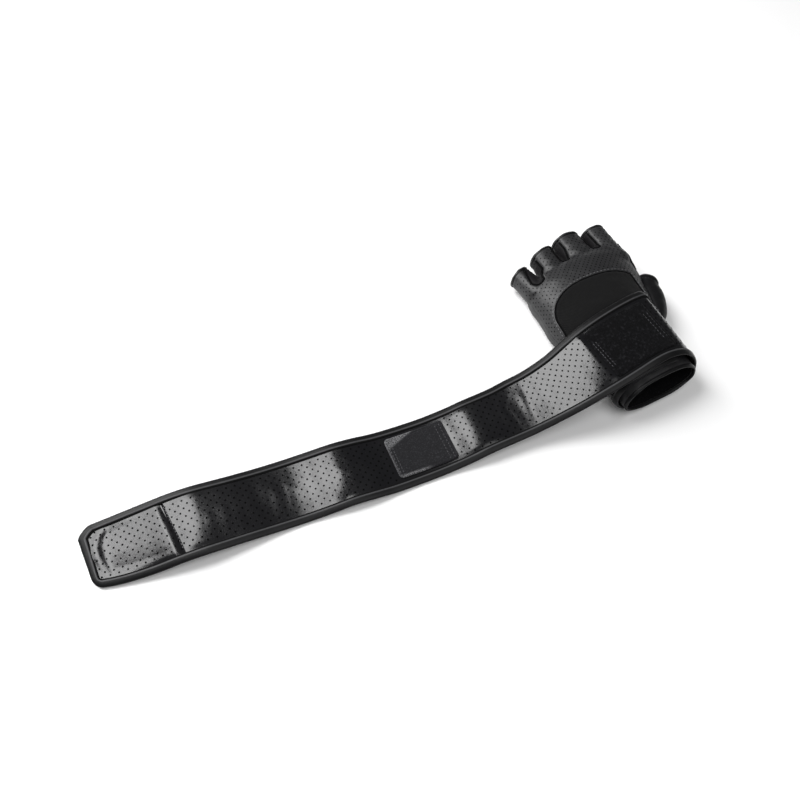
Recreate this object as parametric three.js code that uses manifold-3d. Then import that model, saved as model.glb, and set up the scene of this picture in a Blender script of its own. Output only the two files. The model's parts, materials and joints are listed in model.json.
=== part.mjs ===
// A fingerless training glove for the left hand, palm down, with its long wrist wrap strap unrolled.
// Millimetres, +Z up. x runs across the hand towards the thumb, y runs towards the fingers, and the
// origin is the middle of the footprint, on the surface that the glove and its strap lie on.
// Tables give places in the hand's own frame, which HAND_X and HAND_Y put in the footprint.

import * as THREE from "three";
import { mergeVertices } from "three/addons/utils/BufferGeometryUtils.js";
import Module from "manifold-3d";

const wasm = await Module();
wasm.setup();

// Driving sizes
const HAND_X = 190.56;
const HAND_Y = -0.46;
const GLOVE_WALL = 1.8;
const SEAM_GAP = 0.3;
const CUFF_GAP = 1.2;
const STRAP_LEATHER = 1.2;
const TAPE_WALL = 0.85;
const TAPE_WIDTH = 6.2;
const STRAP_THICK = STRAP_LEATHER + 2 * (TAPE_WALL + SEAM_GAP * 0.8);
const HAND_SIDES = 28;
const STALL_SIDES = 16;

// Outer form of the hand from the cuff to the finger roots, a row for each section: its sides, its
// floor and top, the height of its widest line, how squarely its underside is flattened, how far it
// runs forward for each millimetre across, and how far its top leans forward for each millimetre up.
const HAND_SECTIONS = [
  { y: -78, left: -32.5, right: 34.5, floor: 4.6, top: 36.0, waist: 17, square: 2.3, slant: 0.09, lean: 0.13 },
  { y: -55, left: -34.3, right: 32.6, floor: 4.8, top: 37.5, waist: 17, square: 2.4, slant: 0.06, lean: 0.06 },
  { y: -33, left: -38.6, right: 31.0, floor: 4.8, top: 39.5, waist: 16, square: 2.6, slant: 0.03, lean: 0.0 },
  { y: -21, left: -44.6, right: 34.8, floor: 0.3, top: 40.3, waist: 14, square: 3.2, slant: 0.0, lean: 0.0 },
  { y: -8, left: -48.8, right: 41.0, floor: -0.5, top: 40.5, waist: 12, square: 4.0, slant: 0.0, lean: 0.0 },
  { y: 8, left: -49.6, right: 45.0, floor: -0.5, top: 40.0, waist: 11, square: 4.0, slant: 0.0, lean: 0.0 },
  { y: 25, left: -49.6, right: 49.2, floor: -0.5, top: 39.0, waist: 11, square: 4.0, slant: 0.0, lean: 0.0 },
  { y: 40, left: -49.0, right: 51.0, floor: -0.5, top: 37.5, waist: 10.5, square: 4.0, slant: 0.03, lean: 0.0 },
  { y: 51, left: -46.5, right: 51.0, floor: 0.7, top: 34.5, waist: 11, square: 3.0, slant: 0.1, lean: 0.0 },
  { y: 57.5, left: -41.0, right: 48.0, floor: 4.0, top: 29.5, waist: 13, square: 2.4, slant: 0.14, lean: 0.0 },
];

// Finger stalls: where each sleeve leaves the hand and where it ends, its breadth and depth at both,
// and how far its opening is turned to the little finger's side, in degrees.
const STALLS = [
  { finger: "pinky", rootX: -37.5, rootY: 38, rootZ: 14.5, tipX: -43.6, tipY: 66.0, tipZ: 13.0,
    rootWide: 24, tipWide: 18.6, rootDeep: 25, tipDeep: 19, turned: 20 },
  { finger: "ring", rootX: -17.3, rootY: 40, rootZ: 17.5, tipX: -17.4, tipY: 76.0, tipZ: 16.5,
    rootWide: 26.8, tipWide: 23.0, rootDeep: 29, tipDeep: 22.0, turned: 13 },
  { finger: "middle", rootX: 9.5, rootY: 42, rootZ: 18.0, tipX: 9.0, tipY: 82.0, tipZ: 17.0,
    rootWide: 30, tipWide: 26.0, rootDeep: 31, tipDeep: 25, turned: 2 },
  { finger: "index", rootX: 36.5, rootY: 42, rootZ: 17.5, tipX: 36.2, tipY: 81.2, tipZ: 16.0,
    rootWide: 27, tipWide: 22.0, rootDeep: 30, tipDeep: 24, turned: -2 },
];

// Thumb sleeve along its own axis, from the ball of the thumb to the opening, which is cut aslant so
// that it faces away from the fingers. Each section is turned a little more than the one before.
const THUMB_SECTIONS = [
  { x: 27.5, y: -28, z: 15.5, wide: 15, deep: 18, turned: -17 },
  { x: 35.2, y: -17, z: 15.0, wide: 22.8, deep: 25, turned: -20 },
  { x: 41.2, y: -6, z: 14.2, wide: 24.4, deep: 26, turned: -25 },
  { x: 47.7, y: 5.4, z: 13.4, wide: 21.2, deep: 24.5, turned: -37 },
  { x: 52.4, y: 17.0, z: 12.4, wide: 18.2, deep: 21.8, turned: -54 },
];

// Seams in plan. The half-oval panel has a straight left side, two curved stretches and a cut on the
// thumb side. Each side strip fills a notch with a round bottom at the web between two fingers.
const PANEL = {
  left: -44.5, springY: 1, topX: -2, topY: 27, cornerX: 31, cornerY: 19.5, rightX: 35, bottom: -30,
  underside: 20,
};
const WEBS = [
  { name: "gusset_pinky_ring", x: -38.2, y: 49.5, radius: 5.3, leftX: -40.3, rightX: -27.3, shoulderY: 60 },
  { name: "gusset_ring_middle", x: -7.0, y: 60.5, radius: 4.6, leftX: -10.5, rightX: -0.5, shoulderY: 70 },
  { name: "gusset_middle_index", x: 24.0, y: 62.0, radius: 4.3, leftX: 19.0, rightX: 28.3, shoulderY: 68 },
];
const THUMB_SEAM = [
  { x: 28.0, y: -34.5 },
  { x: 32.5, y: -22 },
  { x: 36.5, y: -10 },
  { x: 41.5, y: 7 },
  { x: 44.5, y: 28 },
];
const SIDE_SEAM = { heightAtMiddle: 16, rise: 0.045 };

// The strap's free run, a row for each station: x, the height of its middle, and the y of its far
// and near edges, as it lies in low waves on the surface beside the hand.
const FREE_RUN = [
  { x: -106, height: 12.7, far: -23.1, near: -75.1 },
  { x: -118, height: 10.9, far: -24.0, near: -75.0 },
  { x: -130, height: 9.8, far: -24.3, near: -75.0 },
  { x: -143, height: 8.5, far: -24.3, near: -75.2 },
  { x: -156, height: 5.6, far: -24.0, near: -75.2 },
  { x: -176, height: 2.6, far: -23.2, near: -74.9 },
  { x: -198, height: 1.75, far: -22.1, near: -74.5 },
  { x: -218, height: 2.8, far: -21.2, near: -74.3 },
  { x: -234, height: 5.0, far: -20.0, near: -73.8 },
  { x: -249, height: 5.5, far: -18.8, near: -72.8 },
  { x: -266, height: 3.4, far: -17.2, near: -71.7 },
  { x: -286, height: 1.9, far: -15.8, near: -70.5 },
  { x: -308, height: 3.3, far: -15.3, near: -69.8 },
  { x: -330, height: 6.4, far: -15.0, near: -69.6 },
  { x: -345, height: 8.3, far: -14.4, near: -69.5 },
  { x: -358, height: 9.5, far: -13.8, near: -69.2 },
  { x: -374, height: 8.4, far: -12.8, near: -68.2 },
  { x: -396, height: 4.9, far: -11.7, near: -66.6 },
  { x: -420, height: 2.3, far: -11.3, near: -63.4 },
  { x: -441, height: 1.75, far: -11.8, near: -59.6 },
];
const END_CORNER = { far: 13, near: 10 };

// The strap's stretch over the back of the wrist and down to the surface, from the thumb side: both
// edges, point by point. Round the wrist the near edge runs ahead, as the wrist is turned a little.
const BACK_RUN = [
  { farX: 36.3, farY: -34.5, farZ: 18.5, nearX: 38.0, nearY: -73.6, nearZ: 13.0 },
  { farX: 34.2, farY: -28.5, farZ: 26.0, nearX: 37.2, nearY: -73.0, nearZ: 19.5 },
  { farX: 30.0, farY: -20.5, farZ: 31.4, nearX: 35.4, nearY: -72.2, nearZ: 25.6 },
  { farX: 26.4, farY: -13.0, farZ: 37.0, nearX: 32.6, nearY: -71.4, nearZ: 30.6 },
  { farX: 21.8, farY: -6.8, farZ: 43.8, nearX: 28.0, nearY: -70.4, nearZ: 35.4 },
  { farX: 12.5, farY: -7.4, farZ: 46.4, nearX: 22.0, nearY: -69.6, nearZ: 38.9 },
  { farX: 0.0, farY: -9.2, farZ: 46.9, nearX: 10.5, nearY: -69.6, nearZ: 42.0 },
  { farX: -13.0, farY: -11.3, farZ: 46.3, nearX: -2.5, nearY: -71.2, nearZ: 43.0 },
  { farX: -26.8, farY: -13.5, farZ: 44.2, nearX: -17.3, nearY: -73.6, nearZ: 41.4 },
  { farX: -40.2, farY: -15.7, farZ: 40.2, nearX: -31.8, nearY: -75.4, nearZ: 38.6 },
  { farX: -54.5, farY: -18.5, farZ: 33.8, nearX: -47.5, nearY: -76.4, nearZ: 34.2 },
  { farX: -71.5, farY: -21.9, farZ: 25.3, nearX: -66.5, nearY: -76.5, nearZ: 26.8 },
  { farX: -89.5, farY: -23.2, farZ: 17.5, nearX: -86.5, nearY: -75.7, nearZ: 18.6 },
];

// The strap's first turn round the wrist, from where it is sewn on: the angle round the wrist
// (0 at the thumb side, 90 on the back, 180 at the little finger's side) and the y of both edges.
const WRIST_TURN = [
  { angle: 64, far: -18, near: -71.5 },
  { angle: 84, far: -18, near: -72.5 },
  { angle: 104, far: -20, near: -73.5 },
  { angle: 128, far: -25, near: -74.5 },
  { angle: 152, far: -31, near: -75.5 },
  { angle: 180, far: -33.5, near: -77 },
  { angle: 208, far: -34.5, near: -78.2 },
  { angle: 236, far: -35.5, near: -79 },
  { angle: 270, far: -36, near: -78.5 },
  { angle: 304, far: -37, near: -76.5 },
  { angle: 332, far: -38, near: -74.5 },
];

// Velvet pads on the strap: how far along the strap from its free end, and how far across it.
const WRIST_PAD = { from: 408, to: 464, left: -22, right: 22.5, thick: 1.1 };
const MIDDLE_PATCH = { from: 229, to: 277, left: -17.5, right: 17.5, thick: 1.1 };

const COLOURS = {
  leather: { color: 0x2b2b2d, roughness: 0.42, metalness: 0 },
  strapLeather: { color: 0x39383c, roughness: 0.36, metalness: 0 },
  elastic: { color: 0x1b1b1c, roughness: 0.9, metalness: 0 },
  gusset: { color: 0x1d1b20, roughness: 0.55, metalness: 0 },
  tape: { color: 0x28282b, roughness: 0.5, metalness: 0 },
  velvet: { color: 0x0e0e10, roughness: 1, metalness: 0 },
};

const glove = new THREE.Group();

function addPiece(name, geometry, finish) {
  const mesh = new THREE.Mesh(geometry, new THREE.MeshStandardMaterial(COLOURS[finish]));
  mesh.name = name;
  mesh.position.set(HAND_X, HAND_Y, 0);
  glove.add(mesh);
}

// Value of a table's column between its rows, along a smooth curve through them.
function column(rows, key, name, at) {
  const last = rows.length - 1;
  const rising = rows[last][key] > rows[0][key];
  let i = 0;
  while (i < last - 1 && (rising ? at > rows[i + 1][key] : at < rows[i + 1][key])) i += 1;
  const a = rows[i];
  const b = rows[i + 1];
  const before = rows[Math.max(i - 1, 0)];
  const after = rows[Math.min(i + 2, last)];
  const span = b[key] - a[key];
  const t = THREE.MathUtils.clamp((at - a[key]) / span, 0, 1);
  const slopeA = (b[name] - before[name]) / (b[key] - before[key]);
  const slopeB = (after[name] - a[name]) / (after[key] - a[key]);
  const h = t * t * (3 - 2 * t);
  const tangents = (t ** 3 - 2 * t * t + t) * slopeA + (t ** 3 - t * t) * slopeB;
  return a[name] * (1 - h) + b[name] * h + tangents * span;
}

// A closed body through rings of equally many points. Flat ends close it, unless it closes on itself.
function loft(rings, closed = false) {
  const count = rings[0].length;
  const corners = rings.flat().flatMap((p) => [p.x, p.y, p.z]);
  const faces = [];
  const spans = closed ? rings.length : rings.length - 1;
  for (let i = 0; i < spans; i += 1) {
    const next = (i + 1) % rings.length;
    for (let k = 0; k < count; k += 1) {
      const l = (k + 1) % count;
      faces.push(i * count + k, i * count + l, next * count + l);
      faces.push(i * count + k, next * count + l, next * count + k);
    }
  }
  if (!closed) {
    const end = (rings.length - 1) * count;
    const flat = (ring) => {
      const normal = new THREE.Vector3();
      ring.forEach((p, k) => normal.add(p.clone().cross(ring[(k + 1) % count])));
      const side = new THREE.Vector3().subVectors(ring[1], ring[0]).normalize();
      const up = normal.normalize().clone().cross(side);
      return ring.map((p) => new THREE.Vector2(p.dot(side), p.dot(up)));
    };
    THREE.ShapeUtils.triangulateShape(flat(rings[0]), []).forEach((f) => {
      faces.push(f[2], f[1], f[0]);
    });
    THREE.ShapeUtils.triangulateShape(flat(rings[rings.length - 1]), []).forEach((f) => {
      faces.push(end + f[0], end + f[1], end + f[2]);
    });
  }
  const body = new THREE.BufferGeometry();
  body.setAttribute("position", new THREE.Float32BufferAttribute(corners, 3));
  body.setIndex(faces);
  return outward(body);
}

// Turns a closed body's faces the other way where its volume comes out negative.
function outward(body) {
  const place = body.getAttribute("position");
  const order = body.getIndex().array;
  const [a, b, c] = [new THREE.Vector3(), new THREE.Vector3(), new THREE.Vector3()];
  let volume = 0;
  for (let i = 0; i < order.length; i += 3) {
    a.fromBufferAttribute(place, order[i]);
    b.fromBufferAttribute(place, order[i + 1]);
    c.fromBufferAttribute(place, order[i + 2]);
    volume += a.dot(b.cross(c));
  }
  if (volume < 0) {
    const turned = Array.from(order);
    for (let i = 0; i < turned.length; i += 3) [turned[i], turned[i + 2]] = [turned[i + 2], turned[i]];
    body.setIndex(turned);
  }
  return body;
}

function solid(geometry) {
  const bare = geometry.clone();
  bare.deleteAttribute("normal");
  bare.deleteAttribute("uv");
  const merged = mergeVertices(bare, 1e-4);
  return new wasm.Manifold(new wasm.Mesh({
    numProp: 3,
    vertProperties: new Float32Array(merged.getAttribute("position").array),
    triVerts: new Uint32Array(merged.getIndex().array),
  }));
}

function geometryOf(body) {
  const mesh = body.simplify(0.02).getMesh();
  const geometry = new THREE.BufferGeometry();
  geometry.setAttribute("position", new THREE.Float32BufferAttribute(mesh.vertProperties, 3));
  geometry.setIndex(Array.from(mesh.triVerts));
  return geometry;
}

function prism(shape, floor, top) {
  const body = new THREE.ExtrudeGeometry(shape, { depth: top - floor, bevelEnabled: false, curveSegments: 16 });
  body.translate(0, 0, floor);
  return solid(body);
}

const power = (value, exponent) => Math.sign(value) * Math.abs(value) ** exponent;

// One point of the hand's section at y, at an angle round it, moved outwards by grow.
function handPoint(y, angle, grow = 0) {
  const at = (name) => column(HAND_SECTIONS, "y", name, y);
  const left = at("left") - grow;
  const right = at("right") + grow;
  const floor = at("floor") - grow;
  const top = at("top") + grow;
  const waist = at("waist");
  const upper = Math.sin(angle) >= 0;
  const bend = 2 / (upper ? 2.25 : at("square"));
  const x = (left + right) / 2 + ((right - left) / 2) * power(Math.cos(angle), bend);
  const z = waist + (upper ? top - waist : waist - floor) * power(Math.sin(angle), bend);
  return new THREE.Vector3(x, y + at("slant") * x + at("lean") * (z - waist), z);
}

// A section where grow moves the hand's wall in or out, and shift moves the whole ring along y.
function handRing(y, grow, shift = 0) {
  return Array.from({ length: HAND_SIDES }, (_, k) => {
    const p = handPoint(y, (k / HAND_SIDES) * 2 * Math.PI, grow);
    p.y += shift;
    return p;
  });
}

// A sleeve's ring: centre, breadth and depth, its opening turned about the vertical.
function sleeveRing(centre, wide, deep, turned, grow) {
  const side = new THREE.Vector3(1, 0, 0).applyAxisAngle(new THREE.Vector3(0, 0, 1), turned);
  return Array.from({ length: STALL_SIDES }, (_, k) => {
    const angle = (k / STALL_SIDES) * 2 * Math.PI;
    return centre.clone()
      .addScaledVector(side, (wide / 2 + grow) * power(Math.cos(angle), 0.92))
      .setZ(centre.z + (deep / 2 + grow) * power(Math.sin(angle), 0.92));
  });
}

function stallRing(stall, t, grow) {
  const mix = (a, b) => THREE.MathUtils.lerp(stall[a], stall[b], t);
  const centre = new THREE.Vector3(mix("rootX", "tipX"), mix("rootY", "tipY"), mix("rootZ", "tipZ"));
  const turned = THREE.MathUtils.degToRad(stall.turned) * Math.min(t, 1);
  return sleeveRing(centre, mix("rootWide", "tipWide"), mix("rootDeep", "tipDeep"), turned, grow);
}

function thumbRing(t, grow) {
  const rows = THUMB_SECTIONS.map((row, i) => ({ ...row, step: i }));
  const at = (name) => column(rows, "step", name, t);
  const last = rows.length - 1;
  const turned = THREE.MathUtils.degToRad(at("turned"));
  const past = Math.max(t - last, 0);
  const centre = new THREE.Vector3(at("x") + 10 * past, at("y") + 9.8 * past, at("z"));
  return sleeveRing(centre, at("wide"), at("deep"), turned, grow);
}

// The whole glove form, outer or inner: hand, four finger sleeves and thumb sleeve joined.
function gloveForm(grow, past) {
  const rings = HAND_SECTIONS.map((row) => handRing(row.y, grow));
  if (past > 0) rings.unshift(handRing(HAND_SECTIONS[0].y, grow, -past));
  const front = HAND_SECTIONS[HAND_SECTIONS.length - 1];
  const cap = handRing(front.y, grow - 3.5, 2 + Math.min(grow, 0));
  rings.push(cap);
  let form = solid(loft(rings));
  for (const stall of STALLS) {
    const stops = [0.08, 0.4, 0.7, 1].concat(past > 0 ? [1 + past / 40] : []);
    const tucked = stallRing(stall, -0.3, grow - 6);
    form = form.add(solid(loft([tucked, ...stops.map((t) => stallRing(stall, t, grow))])));
  }
  const thumbStops = [0, 1, 2, 3, 4].concat(past > 0 ? [4 + past / 14] : []);
  return form.add(solid(loft(thumbStops.map((t) => thumbRing(t, grow)))));
}

function panelShape(grow) {
  const left = PANEL.left - grow;
  const top = PANEL.topY + grow;
  const cornerX = PANEL.cornerX + grow;
  const cornerY = PANEL.cornerY + grow;
  const shape = new THREE.Shape();
  shape.moveTo(left, PANEL.bottom - grow);
  shape.lineTo(left, PANEL.springY);
  shape.bezierCurveTo(left, top * 0.72, left * 0.68, top, PANEL.topX, top);
  shape.bezierCurveTo(cornerX * 0.45, top, cornerX * 0.8, cornerY + 4.5, cornerX, cornerY);
  shape.lineTo(PANEL.rightX + grow, PANEL.bottom - grow);
  return shape;
}

function webShape(web, grow) {
  const tips = 100;
  const shape = new THREE.Shape();
  shape.moveTo(web.leftX - grow, tips);
  shape.absarc(web.x, web.y, web.radius + grow, Math.PI, 2 * Math.PI, false);
  shape.lineTo(web.rightX + grow, web.shoulderY);
  shape.lineTo(web.rightX + grow, tips);
  return shape;
}

function thumbShape(grow) {
  const front = THUMB_SEAM[THUMB_SEAM.length - 1];
  const far = 90;
  const shape = new THREE.Shape();
  shape.moveTo(far, THUMB_SEAM[0].y - grow);
  THUMB_SEAM.forEach((p, i) => {
    shape.lineTo(p.x - grow, p.y + (i === 0 ? -grow : 0) + (p === front ? grow : 0));
  });
  shape.lineTo(far, front.y + grow);
  return shape;
}

// Everything above the side seam, which rises a little from the little finger to the index finger.
function aboveSeam(lift) {
  const tall = 100;
  const block = new THREE.BoxGeometry(260, 260, tall);
  block.translate(0, 0, tall / 2 + lift);
  block.rotateY(-Math.atan(SIDE_SEAM.rise));
  block.translate(0, 0, SIDE_SEAM.heightAtMiddle);
  return solid(block);
}

// The openings that end in a folded hem: its ring for any growth, the way it faces, and its length.
function hemmedOpenings() {
  const facing = (degrees) => {
    const turned = THREE.MathUtils.degToRad(degrees);
    return new THREE.Vector3(-Math.sin(turned), Math.cos(turned), 0);
  };
  const last = THUMB_SECTIONS.length - 1;
  const cuffY = HAND_SECTIONS[0].y;
  return [
    ...STALLS.map((stall) => ({
      name: `hem_${stall.finger}`, ring: (grow) => stallRing(stall, 1, grow),
      ahead: facing(stall.turned), length: 2.0, proud: 0.5,
    })),
    {
      name: "hem_thumb", ring: (grow) => thumbRing(last, grow),
      ahead: facing(THUMB_SECTIONS[last].turned), length: 2.0, proud: 0.5,
    },
    {
      name: "cuff_binding", ring: (grow) => handRing(cuffY, grow),
      ahead: new THREE.Vector3(0, -1, 0), length: 2.2, proud: 0,
    },
  ];
}

// A hem: a folded band just past an opening, with a rounded front edge.
function hemBand(opening) {
  const { ahead, length } = opening;
  const outerRing = opening.ring(opening.proud);
  const innerRing = opening.ring(-GLOVE_WALL);
  const start = ahead.clone().multiplyScalar(SEAM_GAP);
  const end = ahead.clone().multiplyScalar(SEAM_GAP + length);
  const rings = outerRing.map((outer, k) => {
    const inner = innerRing[k];
    const middle = outer.clone().lerp(inner, 0.5);
    const rounded = end.clone().addScaledVector(ahead, 0.5);
    return [
      outer.clone().add(start), outer.clone().add(end), middle.clone().add(rounded),
      inner.clone().add(end), inner.clone().add(start),
    ];
  });
  return loft(rings, true);
}

// Clear space for a hem, kept out of the leather beside it.
function hemRoom(opening) {
  const ring = opening.ring(opening.proud + SEAM_GAP);
  const deep = opening.length + 0.5 + 2 * SEAM_GAP;
  return solid(loft([ring, ring.map((p) => p.clone().addScaledVector(opening.ahead, deep))]));
}

function buildGlove() {
  const low = -20;
  const high = 90;
  const open = 12;
  const openings = hemmedOpenings();
  let shell = gloveForm(0, 0).subtract(gloveForm(-GLOVE_WALL, open));
  for (const opening of openings) shell = shell.subtract(hemRoom(opening));
  shell = shell.trimByPlane([0, 0, 1], 0);

  const thumb = shell.intersect(prism(thumbShape(0), low, high));
  let rest = shell.subtract(prism(thumbShape(SEAM_GAP), low, high));

  for (const web of WEBS) {
    const strip = rest.intersect(prism(webShape(web, 0), low, high));
    addPiece(web.name, geometryOf(strip), "gusset");
  }
  for (const web of WEBS) rest = rest.subtract(prism(webShape(web, SEAM_GAP), low, high));

  const panel = rest.intersect(prism(panelShape(0), PANEL.underside, high));
  const upper = rest.intersect(aboveSeam(SEAM_GAP / 2));
  const back = upper.subtract(prism(panelShape(SEAM_GAP), PANEL.underside - 2, high));
  const palm = rest.subtract(aboveSeam(-SEAM_GAP / 2));

  addPiece("thumb_stall", geometryOf(thumb), "leather");
  addPiece("back_panel", geometryOf(panel), "elastic");
  addPiece("back_leather", geometryOf(back), "leather");
  addPiece("palm_leather", geometryOf(palm), "leather");
  for (const opening of openings) addPiece(opening.name, hemBand(opening), "tape");
}

// The strap is a ribbon between two smooth edge lines, far and near, from its free end to the cuff.
function strapEdges() {
  const free = FREE_RUN.map((row) => ({
    far: new THREE.Vector3(row.x, row.far, row.height),
    near: new THREE.Vector3(row.x, row.near, row.height),
  }));
  const back = BACK_RUN.map((row) => ({
    far: new THREE.Vector3(row.farX, row.farY, row.farZ),
    near: new THREE.Vector3(row.nearX, row.nearY, row.nearZ),
  }));
  const turn = WRIST_TURN.map((row) => {
    const angle = THREE.MathUtils.degToRad(row.angle);
    const edge = (y) => handPoint(y, angle, CUFF_GAP + STRAP_THICK / 2).setY(y);
    return { far: edge(row.far), near: edge(row.near) };
  });
  const stations = [...turn, ...back, ...free].reverse();
  return {
    far: new THREE.CatmullRomCurve3(stations.map((s) => s.far), false, "centripetal"),
    near: new THREE.CatmullRomCurve3(stations.map((s) => s.near), false, "centripetal"),
  };
}

const EDGES = strapEdges();
const STRAP_TABLE = lengthTable(600);
const STRAP_LENGTH = STRAP_TABLE[STRAP_TABLE.length - 1].length;

function lengthTable(steps) {
  const table = [];
  let length = 0;
  let before = null;
  for (let i = 0; i <= steps; i += 1) {
    const middle = EDGES.far.getPoint(i / steps).lerp(EDGES.near.getPoint(i / steps), 0.5);
    if (before) length += middle.distanceTo(before);
    table.push({ length, t: i / steps });
    before = middle;
  }
  return table;
}

function strapParameter(length) {
  const rows = STRAP_TABLE;
  let i = 0;
  while (i < rows.length - 2 && rows[i + 1].length < length) i += 1;
  const share = (length - rows[i].length) / (rows[i + 1].length - rows[i].length);
  return THREE.MathUtils.lerp(rows[i].t, rows[i + 1].t, share);
}

// Frame of the strap at a length from its free end: middle, unit vectors across and out, half width.
function strapFrame(length) {
  const t = strapParameter(length);
  const step = 0.001;
  const middle = (u) => {
    const v = THREE.MathUtils.clamp(u, 0, 1);
    return EDGES.far.getPoint(v).lerp(EDGES.near.getPoint(v), 0.5);
  };
  const far = EDGES.far.getPoint(t);
  const near = EDGES.near.getPoint(t);
  const across = near.clone().sub(far);
  const half = across.length() / 2;
  across.normalize();
  const along = middle(t + step).sub(middle(t - step)).normalize();
  const out = across.clone().cross(along).normalize();
  return { centre: far.lerp(near, 0.5), across, along, out, half };
}

// A point of the strap: how far from its free end, how far across from its middle, how high.
function strapPoint(length, across, height) {
  const inside = THREE.MathUtils.clamp(length, 0, STRAP_LENGTH);
  const frame = strapFrame(inside);
  return frame.centre
    .addScaledVector(frame.across, across)
    .addScaledVector(frame.along, length - inside)
    .addScaledVector(frame.out, height);
}

// Half width of the strap at a length from the end, less round its two end corners. An inset gives
// the half width of something that stays that much inside the strap's edge all round.
function strapHalf(length, side, inset = 0) {
  const half = strapFrame(length).half;
  const radius = side < 0 ? END_CORNER.far : END_CORNER.near;
  const short = radius - length;
  if (short <= 0) return half - inset;
  return half - radius + Math.sqrt(Math.max((radius - inset) ** 2 - short ** 2, 0));
}

// Lengths for stations along the strap: close together round the wrist, wider on the free run.
function strapStops(from, to) {
  const wrist = 400;
  const stops = [from];
  while (stops[stops.length - 1] < to - 0.5) {
    const here = stops[stops.length - 1];
    stops.push(Math.min(here + (here < wrist ? 12 : 7.5), to));
  }
  return stops;
}

function buildStrapLeather() {
  const inset = 1.4;
  const half = STRAP_LEATHER / 2;
  const corner = Math.max(END_CORNER.far, END_CORNER.near);
  const early = [inset, inset + 1.2, inset + 3.4, inset + 7];
  const stops = early.concat(strapStops(corner, STRAP_LENGTH - inset));
  const rings = stops.map((length) => {
    const far = -strapHalf(length, -1, inset);
    const near = strapHalf(length, 1, inset);
    return [[far, half], [near, half], [near, -half], [far, -half]].map((p) => strapPoint(length, p[0], p[1]));
  });
  addPiece("wrist_strap", loft(rings), "strapLeather");
}

// The tape's route: down the far edge, round both end corners, and back along the near edge.
function tapeRoute() {
  const route = [];
  const end = STRAP_LENGTH - 1.4;
  const start = Math.max(END_CORNER.far, END_CORNER.near);
  strapStops(start, end).reverse().forEach((length) => {
    route.push({ length, across: -strapHalf(length, -1), inX: 0, inY: 1 });
  });
  const corner = (radius, side, steps, backwards) => {
    const half = strapFrame(radius).half;
    for (let k = 1; k <= steps; k += 1) {
      const turn = ((backwards ? steps - k : k) / steps) * (Math.PI / 2);
      route.push({
        length: radius - radius * Math.sin(turn),
        across: side * (half - radius + radius * Math.cos(turn)),
        inX: Math.sin(turn),
        inY: -side * Math.cos(turn),
      });
    }
  };
  corner(END_CORNER.far, -1, 5, false);
  route.push({ length: 0, across: 0, inX: 1, inY: 0 });
  route.push({ length: 0, across: strapFrame(0).half - END_CORNER.near, inX: 1, inY: 0 });
  corner(END_CORNER.near, 1, 4, true);
  strapStops(start, end).forEach((length) => {
    route.push({ length, across: strapHalf(length, 1), inX: 0, inY: -1 });
  });
  return route;
}

// The tape's folded section: how far in from the edge, and how high, round the strap's leather.
const TAPE_SECTION = (() => {
  const outer = STRAP_THICK / 2;
  const slot = outer - TAPE_WALL;
  const fold = TAPE_WALL + 0.15;
  return [
    [0, 0.75 * outer], [TAPE_WIDTH, outer], [TAPE_WIDTH, slot], [fold, slot],
    [fold, -slot], [TAPE_WIDTH, -slot], [TAPE_WIDTH, -outer], [0, -0.75 * outer],
  ];
})();

function buildTape() {
  const rings = tapeRoute().map((stop) => TAPE_SECTION.map(([inward, height]) => strapPoint(
    stop.length + stop.inX * inward,
    stop.across + stop.inY * inward,
    height,
  )));
  addPiece("strap_binding", loft(rings), "tape");
}

function buildPad(name, pad) {
  const floor = STRAP_LEATHER / 2 + SEAM_GAP;
  const top = floor + pad.thick;
  const rings = strapStops(pad.from, pad.to).map((length) => [
    [pad.left, floor], [pad.left, top - 0.3], [pad.left + 0.6, top],
    [pad.right - 0.6, top], [pad.right, top - 0.3], [pad.right, floor],
  ].map((p) => strapPoint(length, p[0], p[1])));
  addPiece(name, loft(rings), "velvet");
}

buildGlove();
buildStrapLeather();
buildTape();
buildPad("wrist_loop_pad", WRIST_PAD);
buildPad("middle_loop_patch", MIDDLE_PATCH);

export default glove;
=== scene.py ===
# %% [markdown]
# # A fingerless training glove with a long wrist wrap
# The glove lies palm down. It is sewn from thin leather, with an elastic panel let into its back, and a
# long padded strap runs once round the wrist and out over the surface. This file dresses the packed
# model: each plain solid gets a finely made piece in its place, and each piece a finish.

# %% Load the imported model
import json
import math
from functools import partial

import bpy
import numpy as np
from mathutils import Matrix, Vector
from mathutils.bvhtree import BVHTree

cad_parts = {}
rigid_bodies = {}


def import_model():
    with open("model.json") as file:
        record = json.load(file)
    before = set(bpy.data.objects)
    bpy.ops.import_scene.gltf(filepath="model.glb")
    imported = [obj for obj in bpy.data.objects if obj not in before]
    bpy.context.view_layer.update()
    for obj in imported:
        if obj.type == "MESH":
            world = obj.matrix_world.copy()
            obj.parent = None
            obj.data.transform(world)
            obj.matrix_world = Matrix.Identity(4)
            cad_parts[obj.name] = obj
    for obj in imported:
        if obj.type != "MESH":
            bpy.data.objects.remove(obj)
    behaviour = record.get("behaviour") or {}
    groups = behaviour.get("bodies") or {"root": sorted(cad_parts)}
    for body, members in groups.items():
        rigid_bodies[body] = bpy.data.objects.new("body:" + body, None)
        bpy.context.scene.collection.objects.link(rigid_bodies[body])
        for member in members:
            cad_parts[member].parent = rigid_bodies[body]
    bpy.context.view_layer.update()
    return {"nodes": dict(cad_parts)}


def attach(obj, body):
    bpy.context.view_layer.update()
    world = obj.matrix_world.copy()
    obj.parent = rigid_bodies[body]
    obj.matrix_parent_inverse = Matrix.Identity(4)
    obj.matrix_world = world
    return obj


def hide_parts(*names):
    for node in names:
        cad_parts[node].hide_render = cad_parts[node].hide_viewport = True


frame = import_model()

# %% [markdown]
# ## Camera
# The photograph looks down on the glove from the front left, 58 degrees above the surface, from about
# 0.6 m. A short distance and a mild wide angle give the strap's far end its larger scale.

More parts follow.
